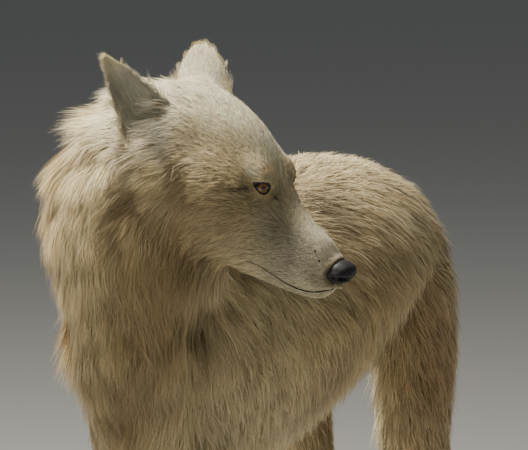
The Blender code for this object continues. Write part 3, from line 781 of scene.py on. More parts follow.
def lipPaths():
    # The line is resampled evenly, laid on the outline from each side, and joined in front
    line = np.array(lipMake["line"], float)
    along = np.concatenate(([0], np.cumsum(lengths(np.diff(line, axis=0)))))
    at = np.linspace(0, along[-1], lipMake["points"])
    line = evened(np.stack([np.interp(at, along, column) for column in line.T], 1))
    return np.array([evened([onSide(a, c, sign) for a, c in line]) for sign in (1, -1)])


lips = lipPaths()
lipEdge = np.concatenate(lips)


def keptRoots(r):   # no hair on the lips or inside an eye's opening
    keep = np.ones(len(r["long"]), bool)
    near = np.flatnonzero(toHead(r["skin"])[:, 0] > 5 * mm)
    gap = np.sqrt(((r["skin"][near, None] - lipEdge[None]) ** 2).sum(2).min(1))
    keep[near] = gap > coatMake["lipGap"]
    pad = padReach(toHead(r["skin"]))
    keep &= pad > coatMake["fromPad"]
    r["long"] = r["long"] * (0.45 + 0.55 * fade(pad, 1.0, 1.9))
    for node, sign in eyeSides:
        scale, away, direction, level, near = lidScale(r["skin"], node, sign)
        keep &= ~(near & (scale < coatMake["fromLid"]))
        outward = unit(direction - lidFrame(sign)[0])
        beside = 1.2 - 1.4 * fade(level, 0.15, 0.55)   # above the eye the brow's hair lies over the lid
        combed = r["lie"] + outward * (beside * near * (1 - fade(scale, 1.2, 2.2)))[:, None]
        r["lie"] = unit(laidOn(r["up"], combed))
        short = near * (1 - fade(scale, 1.1, 2.4)) * (1 - 0.8 * fade(level, 0.2, 0.6))
        r["long"] = r["long"] * (1 - 0.55 * short)
        r["deep"] = r["deep"] * (1 - 0.30 * short)
    return {k: v[keep] for k, v in r.items()}


roots = keptRoots(plantedRoots())
print("roots:", len(roots["long"]))

# The coat's pieces: each root belongs to one region of the body, which also has its own simple unwrap

regionNames = np.array(("trunkRight", "trunkLeft", "neckRight", "neckLeft", "cheeks", "face", "ears", "forelegs",
                        "hindlegs", "tail"))
regionOrder = ("face", "cheeks", "ears", "neckLeft", "neckRight", "trunkLeft", "trunkRight", "forelegs",
               "hindlegs", "tail")


def before(p, place, facing):   # distance before a plane, in the body's frame
    return (p - bodyPlace - np.array(place)) @ unit(np.array(facing, float))


def regionOf(p, ear):
    head, (x, y, z) = toHead(p), (p - bodyPlace).T
    ahead, aside = head[:, 0], np.abs(head[:, 1])
    neck = before(p, (0, 0.020, 0.668), (0, -0.74, 0.67)) > 0
    skull = (before(p, (0.035, -0.020, 0.785), (0.75, 0, 0.66)) > 0) & (ahead > -0.2) & (aside < 0.12)
    skull &= neck | (ahead > -0.1) & (aside < 0.11)
    region = (x > 0).astype(int)
    for where, number in ((neck, 2 + (np.arctan2(y + 0.03, x) > -0.9)), (skull, np.where(ahead > -0.045, 5, 4)),
                          (ear > 0.5, 6), ((z < 0.45) & (y < 0.12) & (z < 0.40 + 0.5 * np.abs(y)), 7),
                          ((z < 0.46) & (y > 0.45), 8),
                          ((before(p, (0, 0.722, 0.640), (0, 0.98, -0.15)) > 0) & (z > 0.28), 9)):
        region = np.where(where, number, region)
    return regionNames[region]


def unwrapped(p, region):
    # An unwrap of the skin's own shape: (angle about the region's axis, place along it), both 0..1
    (ahead, left, over), (x, y, z) = toHead(p).T, (p - bodyPlace).T

    def turn(a, b):
        return np.arctan2(a, b) / (2 * math.pi) + 0.5
    if region in ("face", "cheeks"):
        return turn(left, over + 0.05), (ahead + 0.20) / 0.33
    if region == "ears":
        return ((left > 0) + np.clip((over + 0.06) / 0.15, 0, 1)) / 2, (ahead + 0.23) / 0.17
    if region.startswith("neck"):
        return turn(x, y + 0.03), (z - 0.45) / 0.5
    if region.endswith("legs"):
        middleY = 0.62 if region == "hindlegs" else 0.0
        return ((x > 0) + turn(y - middleY - 0.01, np.abs(x) - 0.055)) / 2, z / 0.5
    if region == "tail":
        return turn(x, y - 0.755), (z - 0.25) / 0.47
    return turn(x, z - 0.61), (y + 0.15) / 0.9


# Tufts: each is a thin tapered blade that starts steep, lies down, follows the body's curve and joins its lock

tuftMake = {"flatten": 0.75, "roll": 24, "tone": 0.15, "patch": 0.003, "round": 0.60, "soft": 0.40,
            "lockShare": 0.22, "lockSizes": (2.5 * mm, 13 * mm), "over": 1.0 * mm, "brown": 0.70,
            "shape": ((0, 0.8), (0.25, 1.0), (0.6, 0.66), (1, 0.0))}


def locksOf(r, seed):   # the lock of each root: its cell in a warped grid, coarser where the hair is long
    low, high = tuftMake["lockSizes"]
    lockSize = np.clip(r["long"] * tuftMake["lockShare"], low, high)
    warp = np.stack([ripples(r["skin"], 0.02, seed + k) for k in (1, 2, 3)], 1) * 4 * mm
    sizes = 2.0 ** np.round(np.log2(lockSize / mm)) * mm
    cell = np.floor((r["skin"] + warp) / sizes[:, None]).astype(np.int64)
    key = cell @ np.array((73856093, 19349663, 83492791)) + (sizes / mm).astype(int) * 7
    return np.unique(key, return_inverse=True)[1]


def grownTufts(r, rows, seed):
    # P(t) = root + long (lie t cos + up (rise t - flatten rise t^2 / 2)) - up curve (long t)^2 / 2 + wave + droop
    # Each tip is then drawn towards the mean of its lock by lock t^1.6
    draw = np.random.default_rng(seed)
    n = len(r["long"])
    flatten = tuftMake["flatten"]
    long = r["long"] * draw.uniform(0.72, 1.18, n)
    rise = np.clip(r["deep"] / (r["long"] * (1 - flatten / 2)), 0.06, 0.95) * draw.uniform(0.30, 1.12, n)
    across = np.cross(r["up"], r["lie"])
    lock = locksOf(r, seed)
    lockCount = lock.max() + 1
    size = np.bincount(lock, minlength=lockCount)

    def ofLock(low, high, kind="uniform"):
        return getattr(draw, kind)(low, high, lockCount)[lock]

    def lockMean(p):
        return np.stack([np.bincount(lock, p[:, i], lockCount) for i in range(3)], 1) / size[:, None]

    def spread(v):   # one value of each tuft, for its rows and axes
        return v[:, None, None]

    swing = np.radians(r["mess"]) * (0.8 * ofLock(0, 1, "normal") + 0.75 * draw.normal(size=n))
    heading = r["lie"] * np.cos(swing)[:, None] + across * np.sin(swing)[:, None]
    rise = rise * ofLock(0.8, 1.2)
    t = np.linspace(0, 1, rows + 1)[None, :, None] ** 0.9
    along = spread(long) * t * spread(np.cos(rise * 0.6))
    high = spread(long) * spread(rise) * (t - flatten * t ** 2 / 2) - spread(r["curve"]) * along ** 2 / 2
    wave = spread(r["wave"] * long) * np.sin(2 * math.pi * (0.8 * t + spread(draw.random(n)))) * t
    droop = spread(r["droop"] * long) * t ** 2 * np.array((0, 0, -1))
    path = r["place"][:, None] + heading[:, None] * along + r["up"][:, None] * high + across[:, None] * wave + droop
    pull = (lockMean(path[:, -1])[lock] - path[:, -1]) - 0.15 * (lockMean(r["place"])[lock] - r["place"])
    path = path + pull[:, None] * spread(r["lock"] * draw.uniform(0.5, 1.3, n)) * t ** 1.6
    path[..., 2] = np.maximum(path[..., 2], tuftMake["over"])
    tone = 0.6 * ofLock(0, 1, "normal") + 0.8 * draw.normal(size=n)
    return path, tone, ofLock(0, 1), t[0, :, 0], draw


def bladeMesh(name, points, shading, n, rows):   # n blades of rows quads and a tip each
    perTuft = 2 * rows + 1
    base = (np.arange(n) * perTuft)[:, None]
    k = np.arange(rows - 1) * 2
    quads = np.stack((k + 1, k, k + 2, k + 3), 1).reshape(1, -1) + base
    tips = np.array((2 * rows - 1, 2 * rows - 2, 2 * rows))[None] + base
    loops = np.concatenate((quads, tips), 1).astype(np.int32)
    sizes = np.tile(np.array([4] * (rows - 1) + [3], np.int32), n)
    mesh = bpy.data.meshes.new(name)
    mesh.vertices.add(n * perTuft)
    mesh.vertices.foreach_set("co", points.astype(np.float32).ravel())
    mesh.loops.add(loops.size)
    mesh.loops.foreach_set("vertex_index", loops.ravel())
    mesh.polygons.add(len(sizes))
    mesh.polygons.foreach_set("loop_start", np.concatenate(([0], np.cumsum(sizes)[:-1])).astype(np.int32))
    smoothed(mesh)
    mesh.update(calc_edges=True)
    mesh.normals_split_custom_set_from_vertices(shading)
    return mesh, loops


def tuftMesh(name, r, rows, seed, region):
    path, tone, streak, t, draw = grownTufts(r, rows, seed)
    n = len(path)
    up = r["up"][:, None]
    tangent = unit(np.gradient(path, axis=1))
    side = unit(np.cross(np.broadcast_to(up, path.shape), tangent))
    roll = np.radians(tuftMake["roll"]) * draw.normal(size=n)[:, None, None]
    side = side * np.cos(roll) + np.cross(tangent, side) * np.sin(roll)
    shape = readOff(tuftMake["shape"], t)
    half = (r["wide"] * draw.uniform(0.7, 1.25, n))[:, None, None] * shape[None, :, None] / 2
    points = np.stack((path - side * half, path + side * half), 2)[:, :-1].reshape(n, -1, 3)
    points = np.concatenate((points, path[:, -1:]), 1)
    # shading normal: soft x the body's + the rest x the blade's own, leaning outwards at both edges
    blade = np.cross(side, tangent)
    blade *= np.sign(dot(blade, up) + 1e-9)
    facing = tuftMake["soft"] * up + (1 - tuftMake["soft"]) * blade
    edge = tuftMake["round"] * side
    shading = np.stack((facing - edge, facing + edge), 2)[:, :-1].reshape(n, -1, 3)
    shading = unit(np.concatenate((shading, facing[:, -1:]), 1)).reshape(-1, 3)
    mesh, loops = bladeMesh(name, points, shading, n, rows)

    brown = fade(streak, 0.72, 0.98) * np.clip(r["long"] / (45 * mm), 0.10, 1) * tuftMake["brown"]
    colour = tinted(markedColour(r["skin"], r["hollow"]), markings["streak"], brown)
    colour *= (1 + tuftMake["tone"] * np.clip(tone, -2.2, 2.2))[:, None]
    along = np.concatenate((np.repeat(t[:-1], 2), t[-1:]))
    painted(mesh, np.repeat(np.clip(colour, 0, 0.95), 2 * rows + 1, axis=0), np.tile(along, n))

    patch = tuftMake["patch"]
    u, v = (np.clip(x, patch, 1 - 2 * patch) for x in unwrapped(r["skin"], region))
    across = np.concatenate((np.tile((0.0, 1.0), rows), (0.5,)))
    uvPoint = np.stack((u[:, None] + patch * across, v[:, None] + patch * along), 2).reshape(-1, 2)
    uv = mesh.uv_layers.new(name="OFBake")
    uv.data.foreach_set("uv", uvPoint[loops.ravel()].astype(np.float32).ravel())
    return mesh


# Finishes

def fill(tree, socket, value):   # links a socket or sets a plain value
    if hasattr(value, "links"):
        tree.links.new(value, socket)
    else:
        socket.default_value = value


def fillAll(tree, node, values):   # i3 stands for the fourth input, Fleck_Size for "Fleck Size"
    for key, value in values.items():
        fill(tree, node.inputs[int(key[1:]) if key[1:].isdigit() else key.replace("_", " ")], value)


def addNode(tree, kind, settings=None, **values):
    made = tree.nodes.new("ShaderNode" + kind)
    for key, value in (settings or {}).items():
        setattr(made, key, value)
    fillAll(tree, made, values)
    return made.outputs


def mapRange(tree, value, low, high, toLow=0.0, toHigh=1.0):
    return addNode(tree, "MapRange", i0=value, i1=low, i2=high, i3=toLow, i4=toHigh)[0]


def mixColour(tree, factor, a, b, blend="MIX"):
    return addNode(tree, "Mix", {"data_type": "RGBA", "blend_type": blend}, i0=factor, i6=a, i7=b)[2]


def product(tree, a, b):
    return addNode(tree, "Math", {"operation": "MULTIPLY"}, i0=a, i1=b)[0]


def placeOf(tree):
    return addNode(tree, "TexCoord")["Object"]


def readAttribute(tree, name, socket="Fac"):
    return addNode(tree, "Attribute", {"attribute_name": name})[socket]


def furShade():   # strand colour: darker at the root, partly darker underfur and partly painted shade deep in the coat, clear towards the tip, with fine flecks
    group = bpy.data.node_groups.new("furShade", "ShaderNodeTree")
    for label, value in (("Fur", (0.6, 0.5, 0.4, 1)), ("Along", 1.0), ("Root Dusk", 0.5), ("Fleck", 0.2),
                         ("Fleck Size", 300.0), ("Color", None), ("Roughness", None)):
        kind = "Color" if label in ("Fur", "Color") else "Float"
        made = group.interface.new_socket(label, in_out="INPUT" if value else "OUTPUT", socket_type="NodeSocket" + kind)
        if value:
            made.default_value = value
    given, out = group.nodes.new("NodeGroupInput").outputs, group.nodes.new("NodeGroupOutput")
    noise = addNode(group, "TexNoise", Vector=placeOf(group), Scale=given["Fleck Size"], Detail=2.0)[0]
    # the root's darkening: partly its darker underfur, partly painted shade deep in the coat
    rootShade = product(group, mapRange(group, given["Along"], 0.0, 0.7, 1.0, 0.0), given["Root Dusk"])
    dark = mixColour(group, rootShade, given["Fur"], (0.40, 0.34, 0.25, 1), "MULTIPLY")
    fleck = product(group, mapRange(group, noise, 0.55, 0.8), given["Fleck"])
    shade = mixColour(group, fleck, dark, (0.55, 0.45, 0.32, 1), "MULTIPLY")
    fillAll(group, out, {"Color": shade, "Roughness": mapRange(group, noise, 0.3, 0.7, 0.48, 0.66)})
    return group


def newMaterial(name):
    made = bpy.data.materials.new(name)
    made.use_nodes = True
    return made, made.node_tree


def finish(made, **values):
    fillAll(made.node_tree, made.node_tree.nodes["Principled BSDF"], values)
    return made


def bump(tree, height, strength, depth):
    return addNode(tree, "Bump", Strength=strength, Distance=depth, Height=height)[0]


def furMaterial(name, rootShadeShare, fleck, fleckSize, raised=0.0):
    made, tree = newMaterial(name)
    shade = tree.nodes.new("ShaderNodeGroup")
    shade.node_tree = furShadeGroup
    fillAll(tree, shade, {"Root Dusk": rootShadeShare, "Fleck": fleck, "Fleck Size": fleckSize,
                          "Fur": readAttribute(tree, "furColour", "Color"), "Along": readAttribute(tree, "along")})
    if raised:
        grain = addNode(tree, "TexNoise", Scale=900.0, Detail=3.0, Vector=placeOf(tree))[0]
        finish(made, Normal=bump(tree, grain, raised, 0.001))
    return finish(made, Specular_IOR_Level=0.35, Sheen_Weight=0.12, Sheen_Roughness=0.5,
                  Base_Color=shade.outputs["Color"], Roughness=shade.outputs["Roughness"])


furShadeGroup = furShade()
# root darkening by material: strong in the coat, weaker on the ears, none on skin and lids; partly underfur, partly
# painted shade
coatMaterial = furMaterial("coatHair", 0.74, 0.25, 350.0)
earMaterial = furMaterial("earHair", 0.25, 0.15, 350.0)
skinMaterial = furMaterial("underCoat", 0.0, 0.35, 500.0, 0.6)
lidMaterial = furMaterial("eyelidSkin", 0.0, 0.10, 500.0, 0.08)

# Eyes: a ball with a raised cornea, painted by the angle from the gaze

eyeMake = {"gaze": (0.72, 0.68, 0.12), "corneaRise": 1.0 * mm, "corneaReach": 0.58, "rows": 44, "columns": 48,
           "rays": (0.45, 0.36, 0.25, 1),
           "stops": ((0.0, (4, 3, 3)), (0.17, (4, 3, 3)), (0.21, (96, 62, 30)), (0.34, (160, 114, 56)),
                     (0.47, (132, 92, 44)), (0.56, (26, 18, 12)), (0.66, (14, 10, 9)), (1.0, (34, 24, 20)))}


def eyeFinish():
    made, tree = newMaterial("eyeWet")
    ramp = tree.nodes.new("ShaderNodeValToRGB")
    fillAll(tree, ramp, {"i0": readAttribute(tree, "away")})
    stops = ramp.color_ramp.elements
    while len(stops) < len(eyeMake["stops"]):
        stops.new(0.5)
    for stop, (at, colour) in zip(stops, eyeMake["stops"]):
        stop.position = at
        stop.color = (*linear(colour), 1)
    rays = addNode(tree, "TexNoise", Scale=5.0, Detail=4.0, Vector=readAttribute(tree, "irisPlace", "Vector"))[0]
    rays = mapRange(tree, rays, 0.35, 0.7, 0.0, 0.75)
    shade = mixColour(tree, rays, ramp.outputs[0], eyeMake["rays"], "MULTIPLY")
    return finish(made, Roughness=0.25, Coat_Weight=1.0, Coat_Roughness=0.03, Coat_IOR=1.4, Specular_IOR_Level=0.4,
                  Base_Color=shade)


def makeEye(node, sign, material):
    # P(away, spin) = centre + r(away) (gaze cos away + side sin away cos spin + top sin away sin spin)
    rows, columns = eyeMake["rows"], eyeMake["columns"]
    centre, radius = eyeCentre(node, sign), eyeRadius - eyeGap
    gaze = fromSide(eyeMake["gaze"], sign)
    side = unit(np.cross(gaze, headUp))
    top = np.cross(side, gaze)
    away, spin = np.meshgrid(np.linspace(0.004, math.pi - 0.004, rows), circle(columns), indexing="ij")
    rise = eyeMake["corneaRise"] * np.clip(1 - (away / eyeMake["corneaReach"]) ** 2, 0, 1) ** 2
    along = np.cos(away)[..., None] * gaze
    around = np.sin(away)[..., None] * (np.cos(spin)[..., None] * side + np.sin(spin)[..., None] * top)
    points = (centre + (radius + rise)[..., None] * (along + around)).reshape(-1, 3)
    mesh = meshFrom(node, points, ringFaces(rows, columns))
    attribute(mesh, "away", away)
    attribute(mesh, "irisPlace", np.stack((3 * np.cos(spin), 3 * np.sin(spin), 1.2 * away), -1), "FLOAT_VECTOR")
    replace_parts(newObject("eyeball" + node[4:].capitalize(), mesh, material), node)


def makeLid(node, sign, material):
    # P(u, ring) = centre + (r + height) times the direction (wide cos u, +-over |sin u|^q) scaled by the ring
    centre = eyeCentre(node, sign)
    facing, ahead, top = lidFrame(sign)
    u = circle(lidMake["columns"])
    sine, cosine = np.sin(u), np.cos(u)
    rows, black = [], []
    for scale, high, dark in lidMake["rings"]:
        power = 1.35 - 0.35 * fade(scale, 1.0, 1.6)
        high = high * (1 + 0.45 * np.clip(sine, 0, 1))
        rise = np.where(sine > 0, lidMake["over"], lidMake["under"]) * (1 + lidMake["skew"] * cosine)
        across = lidMake["wide"] * cosine * (1 + (scale - 1) * lidMake["widens"])
        level = rise * (np.sign(sine) * np.abs(sine) ** power) * (1 + (scale - 1) * lidMake["opens"])
        level = level - lidMake["cornersLow"] * cosine ** 3
        direction = (np.cos(across) * np.cos(level))[:, None] * facing
        direction = direction + (np.sin(across) * np.cos(level))[:, None] * ahead + np.sin(level)[:, None] * top
        rows.append(centre + (eyeRadius + high * mm)[:, None] * direction)
        black.append(dark + (1 - dark) * 0.55 * np.clip(np.abs(cosine) ** 10, 0, 1))   # blacker at both corners
    points = np.concatenate(rows)
    mesh = meshFrom("lid", points, ringFaces(len(rows), len(u), ends=False), closed=False)
    if ((readOut(mesh.polygons, "center", 3) - centre) * readOut(mesh.polygons, "normal", 3)).sum() < 0:
        mesh.flip_normals()
    colour = markedColour(points, np.zeros(len(points))) * 0.8
    colour += (np.array(lidMake["black"]) - colour) * np.concatenate(black)[:, None]
    painted(mesh, colour, np.ones(len(points)))
    lid = newObject("eyelids" + node[4:].capitalize(), mesh, material)
    wall = lid.modifiers.new("wall", "SOLIDIFY")
    wall.thickness = lidMake["wall"]
    wall.offset = -1


# Nose: a pad broad above, with comma nostrils that curl back at the sides and a groove below.
# Places in mm in the head's frame; each hollow or rim has its height and its width

noseMake = {"hole": ((110.5, 5.5, -44), (108, 11.0, -46), (100, 16.0, -50)), "groove": ((0, 0, -44), (0, 0, -60)),
            "front": (5.5, 2.9), "tail": (3.2, 1.7), "rim": (0.9, 1.8), "cut": (1.5, 0.9), "rows": 84, "columns": 112,
            "dark": (0.022, 0.020, 0.020, 1), "darker": (0.010, 0.009, 0.009, 1)}


def distanceTo(p, chain):   # to a chain of straight pieces
    best = np.full(len(p), 1e9)
    for a, b in zip(chain[:-1], chain[1:]):
        a, b = np.asarray(a, float), np.asarray(b, float)
        t = np.clip(((p - a) @ (b - a)) / ((b - a) @ (b - a)), 0, 1)
        best = np.minimum(best, lengths(p - a - t[:, None] * (b - a)))
    return best


def makeNose():
    # P = centre + (long cos^0.8 theta, wide(up) sin theta cos phi, high sin theta sin phi), less the nostrils' hollows
    rows, columns = noseMake["rows"], noseMake["columns"]
    theta, phi = np.meshgrid(np.linspace(0.01, 2.35, rows), circle(columns), indexing="ij")
    cosine = np.cos(theta)
    level = np.sin(theta) * np.sin(phi)
    across = np.sin(theta) * np.cos(phi) * (1 + 0.10 * level - 0.16 * np.clip(-level, 0, 1) ** 2)
    place = np.stack((np.sign(cosine) * np.abs(cosine) ** 0.80, across, level * (0.92 + 0.08 * np.abs(across))), -1)
    place = place.reshape(-1, 3)
    place[:, 0] += nosePad["lean"] * place[:, 2]
    p = np.array(nosePad["centre"]) + place * np.array(nosePad["half"])
    oneSide = p.copy()
    oneSide[:, 1] = np.abs(p[:, 1])

    def bell(chain, at, kind, offset=0):   # high exp(-((distance - offset) / wide)^2)
        high, wide = noseMake[kind]
        return high * np.exp(-((distanceTo(at, chain) - offset) / wide) ** 2)
    hole = noseMake["hole"]
    depth = bell(hole[:2], oneSide, "front") + bell(hole[1:], oneSide, "tail")
    groove = bell(noseMake["groove"], p * np.array((0, 1, 1)), "cut") * (place[:, 0] > 0)
    p = p - unit(place * np.array((1.2, 0.8, 0.8))) * (depth - bell(hole, oneSide, "rim", 5.0) + groove)[:, None]
    mesh = meshFrom("nosePad", fromHead(p * mm), ringFaces(rows, columns))
    made, tree = newMaterial("noseLeather")
    pebbles = addNode(tree, "TexVoronoi", {"feature": "SMOOTH_F1"}, Scale=850.0, Vector=placeOf(tree))["Distance"]
    raised = bump(tree, mapRange(tree, pebbles, 0.0, 0.7, 1.0, 0.0), 0.55, 0.0006)
    finish(made, Specular_IOR_Level=0.35, Coat_Weight=0.08, Coat_Roughness=0.3, Normal=raised,
           Base_Color=mixColour(tree, pebbles, noseMake["dark"], noseMake["darker"]),
           Roughness=mapRange(tree, pebbles, 0.0, 0.8, 0.50, 0.68))
    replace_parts(newObject("nosePad", mesh, made), "nose")
    return made


def makeLips(material):
    half = readOff(lipMake["half"], np.linspace(0, 1, lipMake["points"])) * mm
    newObject("lips", tubes("lips", lips, np.stack((half, half)), 10), material)


# Whiskers: tapered hairs from rows of dark spots on the muzzle (height, then places ahead), and two larger spots
# above the rows (place ahead, height, half width), all in mm in the head's frame

whiskerMake = {"rows": ((-40, (66, 74, 82)), (-48, (62, 70, 78, 86)), (-56, (60, 68, 76, 84, 91)), (-63, (64, 72, 80))),
               "spots": ((72, -34, 1.1), (81, -40, 1.3)), "half": (0.17, 0.04), "length": 46, "shorter": 0.42,
               "bed": (1.0, 1.0, 0.85, 0.35), "colour": (0.36, 0.30, 0.24, 1)}


def makeWhiskers(material):
    draw = np.random.default_rng(seeds["whiskers"])
    t = np.linspace(0, 1, 9)[:, None]
    paths, beds, wide = [], [], []
    for sign in (1, -1):
        back = unit(np.array((-0.85, 0.1 * sign, -0.75))) @ headAxes
        for c, places in whiskerMake["rows"]:
            for a in places:
                start = onSide(a, c, sign)
                ahead, up = -0.62 + draw.normal() * 0.12, 0.012 * (c + 40) - 0.15 + draw.normal() * 0.12
                out = unit(np.array((ahead, 0.72 * sign, up))) @ headAxes
                long = (whiskerMake["length"] - whiskerMake["shorter"] * (a - 60)) * draw.uniform(0.45, 1.05) * mm
                paths.append(start + long * (t * out + 0.5 * t ** 2 * (back - out)))
                beds.append(start + np.linspace(-0.8, 0.7, 4)[:, None] * mm * out)
                wide.append(draw.uniform(0.18, 0.36))
        for a, c, size in whiskerMake["spots"]:
            beds.append(onSide(a, c, sign) + np.linspace(-0.9, 0.8, 4)[:, None] * mm * (sign * headLeft))
            wide.append(size)
    radii = np.tile(np.linspace(*whiskerMake["half"], 9) * mm, (len(paths), 1))
    horn = finish(newMaterial("whiskerHorn")[0], Base_Color=whiskerMake["colour"], Roughness=0.4)
    newObject("whiskers", tubes("whiskers", np.array(paths), radii, 4), horn)
    radii = np.array(wide)[:, None] * np.array(whiskerMake["bed"]) * mm
    newObject("whiskerBeds", tubes("whiskerBeds", np.array(beds), radii, 8), material)


# Claws and pads

clawMake = {"half": 3.6 * mm, "tip": 0.35 * mm, "turn": 1.45, "below": 5.2 * mm, "drop": 6.4 * mm, "squash": 1.2,
            "dark": (0.030, 0.024, 0.020, 1), "pale": (0.10, 0.075, 0.055, 1)}
padMake = {"toe": (8.0, 12.0), "toeBehind": 14 * mm, "sole": (19.0, 16.0), "soleBehind": 16 * mm, "middle": 3.6 * mm,
           "high": 3.3 * mm, "rows": 9, "columns": 20}
paws = ("forepaw_left", "forepaw_right", "hindpaw_left", "hindpaw_right")


def clawsOf(paw):
    return [n for n in sorted(frame["nodes"]) if n.startswith("claw_" + paw)]


def makeClaws():
    # A claw's axis: y = root - long sin(turn t) / sin(turn), z = root - drop t^2.2; its radius falls as (1 - t^2.4)^0.6
    made, tree = newMaterial("clawHorn")
    grain = addNode(tree, "TexNoise", Scale=260.0, Detail=4.0, Vector=placeOf(tree))[0]
    shade = mixColour(tree, mapRange(tree, grain, 0.35, 0.65), clawMake["dark"], clawMake["pale"])
    finish(made, Roughness=0.38, Specular_IOR_Level=0.5, Base_Color=shade)
    t = np.linspace(0, 1, 12)
    radius = clawMake["half"] * (1 - t ** 2.4) ** 0.6 + clawMake["tip"]
    for paw in paws:
        paths = []
        for low, high in map(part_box, clawsOf(paw)):
            y = high.y - (high.y - low.y) * np.sin(t * clawMake["turn"]) / math.sin(clawMake["turn"])
            z = (high.z - clawMake["below"]) - (high.z - low.z - clawMake["drop"]) * t ** 2.2
            paths.append(np.stack((np.full(12, (low.x + high.x) / 2), y, z), 1))
        radii = np.tile(radius, (len(paths), 1))
        mesh = tubes("claws_" + paw, np.array(paths), radii, 12, clawMake["squash"], (1, 0, 0))
        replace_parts(newObject("claws_" + paw, mesh, made), *clawsOf(paw))


def makePads(material):
    # Each pad is a low dome: half axes (wide, long, high) about a centre on the floor
    rows, columns = padMake["rows"], padMake["columns"]
    up, turn = np.meshgrid(np.linspace(0.0, math.pi, rows), circle(columns), indexing="ij")
    for paw in paws:
        low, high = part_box(paw)
        spots = [((a.x + b.x) / 2, b.y + padMake["toeBehind"], *padMake["toe"]) for a, b in map(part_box, clawsOf(paw))]
        spots.append(((low.x + high.x) / 2, (low.y + high.y) / 2 + padMake["soleBehind"], *padMake["sole"]))
        points, faces = [], []
        for x, y, wide, long in spots:
            faces += ringFaces(rows, columns, len(points) * rows * columns, False)
            points.append(np.stack((x + wide * mm * np.sin(up) ** 0.7 * np.cos(turn),
                                    y + long * mm * np.sin(up) ** 0.7 * np.sin(turn),
                                    padMake["middle"] + padMake["high"] * np.cos(up)), -1).reshape(-1, 3))
        newObject("pads_" + paw, meshFrom("pads_" + paw, np.concatenate(points), faces), material)


eyeMaterial = eyeFinish()
for node, sign in eyeSides:
    makeEye(node, sign, eyeMaterial)
    makeLid(node, sign, lidMaterial)
noseMaterial = makeNose()
makeLips(noseMaterial)
makeWhiskers(noseMaterial)
makeClaws()
makePads(noseMaterial)
print("eyes, nose, lips, whiskers, claws and pads made")

# The skin piece: moved in below the coat, darkened with painted shade where the coat over it is deep, and with fewer
# triangles where the coat is deep

def makeSkin():
    skinMoved(inner)
    marked = markedColour(outer, earHollowShade)
    # painted shade: the skin is darker where the coat over it is deep
    darker = 1 - skinMake["shadeBelowCoat"] * fade(fur["deep"], 4 * mm, 14 * mm)[:, None]
    colour = marked * np.array(skinMake["tint"]) * darker
    colour += (marked * skinMake["earTint"] - colour) * earMask[:, None]
    painted(skinMesh, np.clip(colour, 0, 1), np.ones(count))
    smoothed(skinMesh)
    skin = newObject("skin", skinMesh, skinMaterial)
    fine = skin.vertex_groups.new(name="fine")
    for level in (0.0, 1.0):
        members = np.flatnonzero((fur["deep"] > skinMake["deepFrom"]) == bool(level)).tolist()
        fine.add(members, level, "REPLACE")
    thin = skin.modifiers.new("thin", "DECIMATE")
    thin.ratio = skinMake["thinned"]
    thin.vertex_group = "fine"
    thin.vertex_group_factor = 1.0
    thinned = evaluated(skin)
    skin.modifiers.clear()
    skin.vertex_groups.clear()
    skin.data = thinned
    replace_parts(skin, *fleshNodes)
    thinned.calc_loop_triangles()
    print("skin:", len(thinned.loop_triangles), "triangles")
    return len(thinned.loop_triangles)


def makeCoat(total):
    regions = regionOf(roots["skin"], roots["ear"])
    for number, region in enumerate(regionOrder):
        chosen = np.flatnonzero(regions == region)
        longHair = roots["long"][chosen] > coatMake["longFrom"]
        for word, group in (("Short", chosen[~longHair]), ("Long", chosen[longHair])):
            if len(group) < coatMake["fewest"]:
                continue
            rows = coatMake["rows" + word]
            each = 2 * rows - 1
            parts = math.ceil(len(group) * each / coatMake["mostTriangles"])
            for part in range(parts):
                some = group[part::parts]
                name = "coat" + region[0].upper() + region[1:] + word + (str(part + 1) if parts > 1 else "")
                mesh = tuftMesh(name, {k: v[some] for k, v in roots.items()}, rows, seeds["tufts"] + number, region)
                newObject(name, mesh, earMaterial if region == "ears" else coatMaterial)
                total += len(some) * each
                print(" ", name, len(some), "tufts,", len(some) * each, "triangles")
    print("coat grown:", total, "triangles with the skin")


makeCoat(makeSkin())

# Studio: a grey floor, a strong light from high above, a weak one from in front, and the camera.
# Each light: place, size, power, tint. Camera: degrees, lens and sensor in mm, distance and shifts in metres, aimed
# at a point of the head (mm)

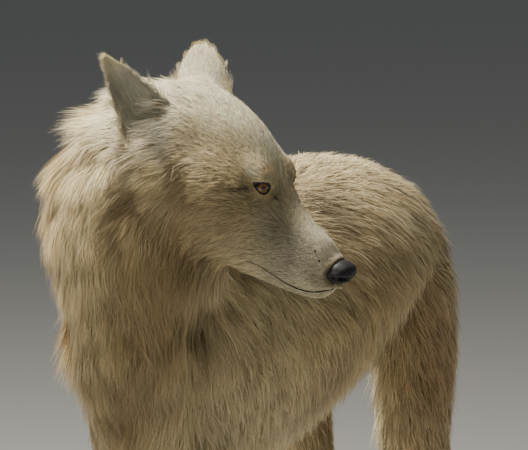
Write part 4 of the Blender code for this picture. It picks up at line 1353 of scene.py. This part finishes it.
studio = {"floor": (0.50, 0.50, 0.48, 1), "world": (0.80, 0.84, 0.86, 1), "worldStrength": 0.15, "aim": (0, -0.1, 0.6),
          "keyLight": ((-1.0, -0.55, 3.2), (0.8, 0.8), 228, (1, 0.96, 0.87)),
          "fillLight": ((-1.6, -3.0, 2.2), (1.6, 1.4), 12, (1, 0.99, 0.94))}
camera = {"azimuth": 22, "elevation": 7, "lens": 300, "sensor": 36, "distance": 4.4, "right": 2 * mm, "up": -38 * mm,
          "aim": (0, -50, 0)}


def placed(made, place, ahead):
    made.location = place
    made.rotation_euler = ahead.to_track_quat("-Z", "Y").to_euler()


def makeStudio():
    floor = bpy.data.meshes.new("floor")
    reshaped(floor, lambda shape: bmesh.ops.create_grid(shape, x_segments=1, y_segments=1, size=30))
    floor.materials.append(finish(newMaterial("floorPaint")[0], Base_Color=studio["floor"], Roughness=0.8))
    linked("floor", floor)
    world = bpy.data.worlds.new("studio")
    world.use_nodes = True
    sky = {"Color": studio["world"], "Strength": studio["worldStrength"]}
    fillAll(world.node_tree, world.node_tree.nodes["Background"], sky)
    bpy.context.scene.world = world
    for name in ("keyLight", "fillLight"):
        place, (wide, high), power, tint = studio[name]
        lamp = bpy.data.lights.new(name, "AREA")
        lamp.shape = "RECTANGLE"
        lamp.size, lamp.size_y = wide, high
        lamp.energy = power
        lamp.color = tint
        placed(linked(name, lamp), place, Vector(studio["aim"]) - Vector(place))


def makeCamera():
    azimuth, elevation = math.radians(camera["azimuth"]), math.radians(camera["elevation"])
    level = math.cos(elevation)
    ahead = Vector((-math.sin(azimuth) * level, math.cos(azimuth) * level, -math.sin(elevation)))
    right = Vector((math.cos(azimuth), math.sin(azimuth), 0))
    aim = Vector(headPoint(*camera["aim"]))
    lens = bpy.data.cameras.new("camera")
    lens.lens = camera["lens"]
    lens.sensor_width = camera["sensor"]
    lens.clip_end = 100
    made = linked("camera", lens)
    placed(made, aim - ahead * camera["distance"] + right * camera["right"] + right.cross(ahead) * camera["up"], ahead)
    bpy.context.scene.camera = made


makeStudio()
makeCamera()
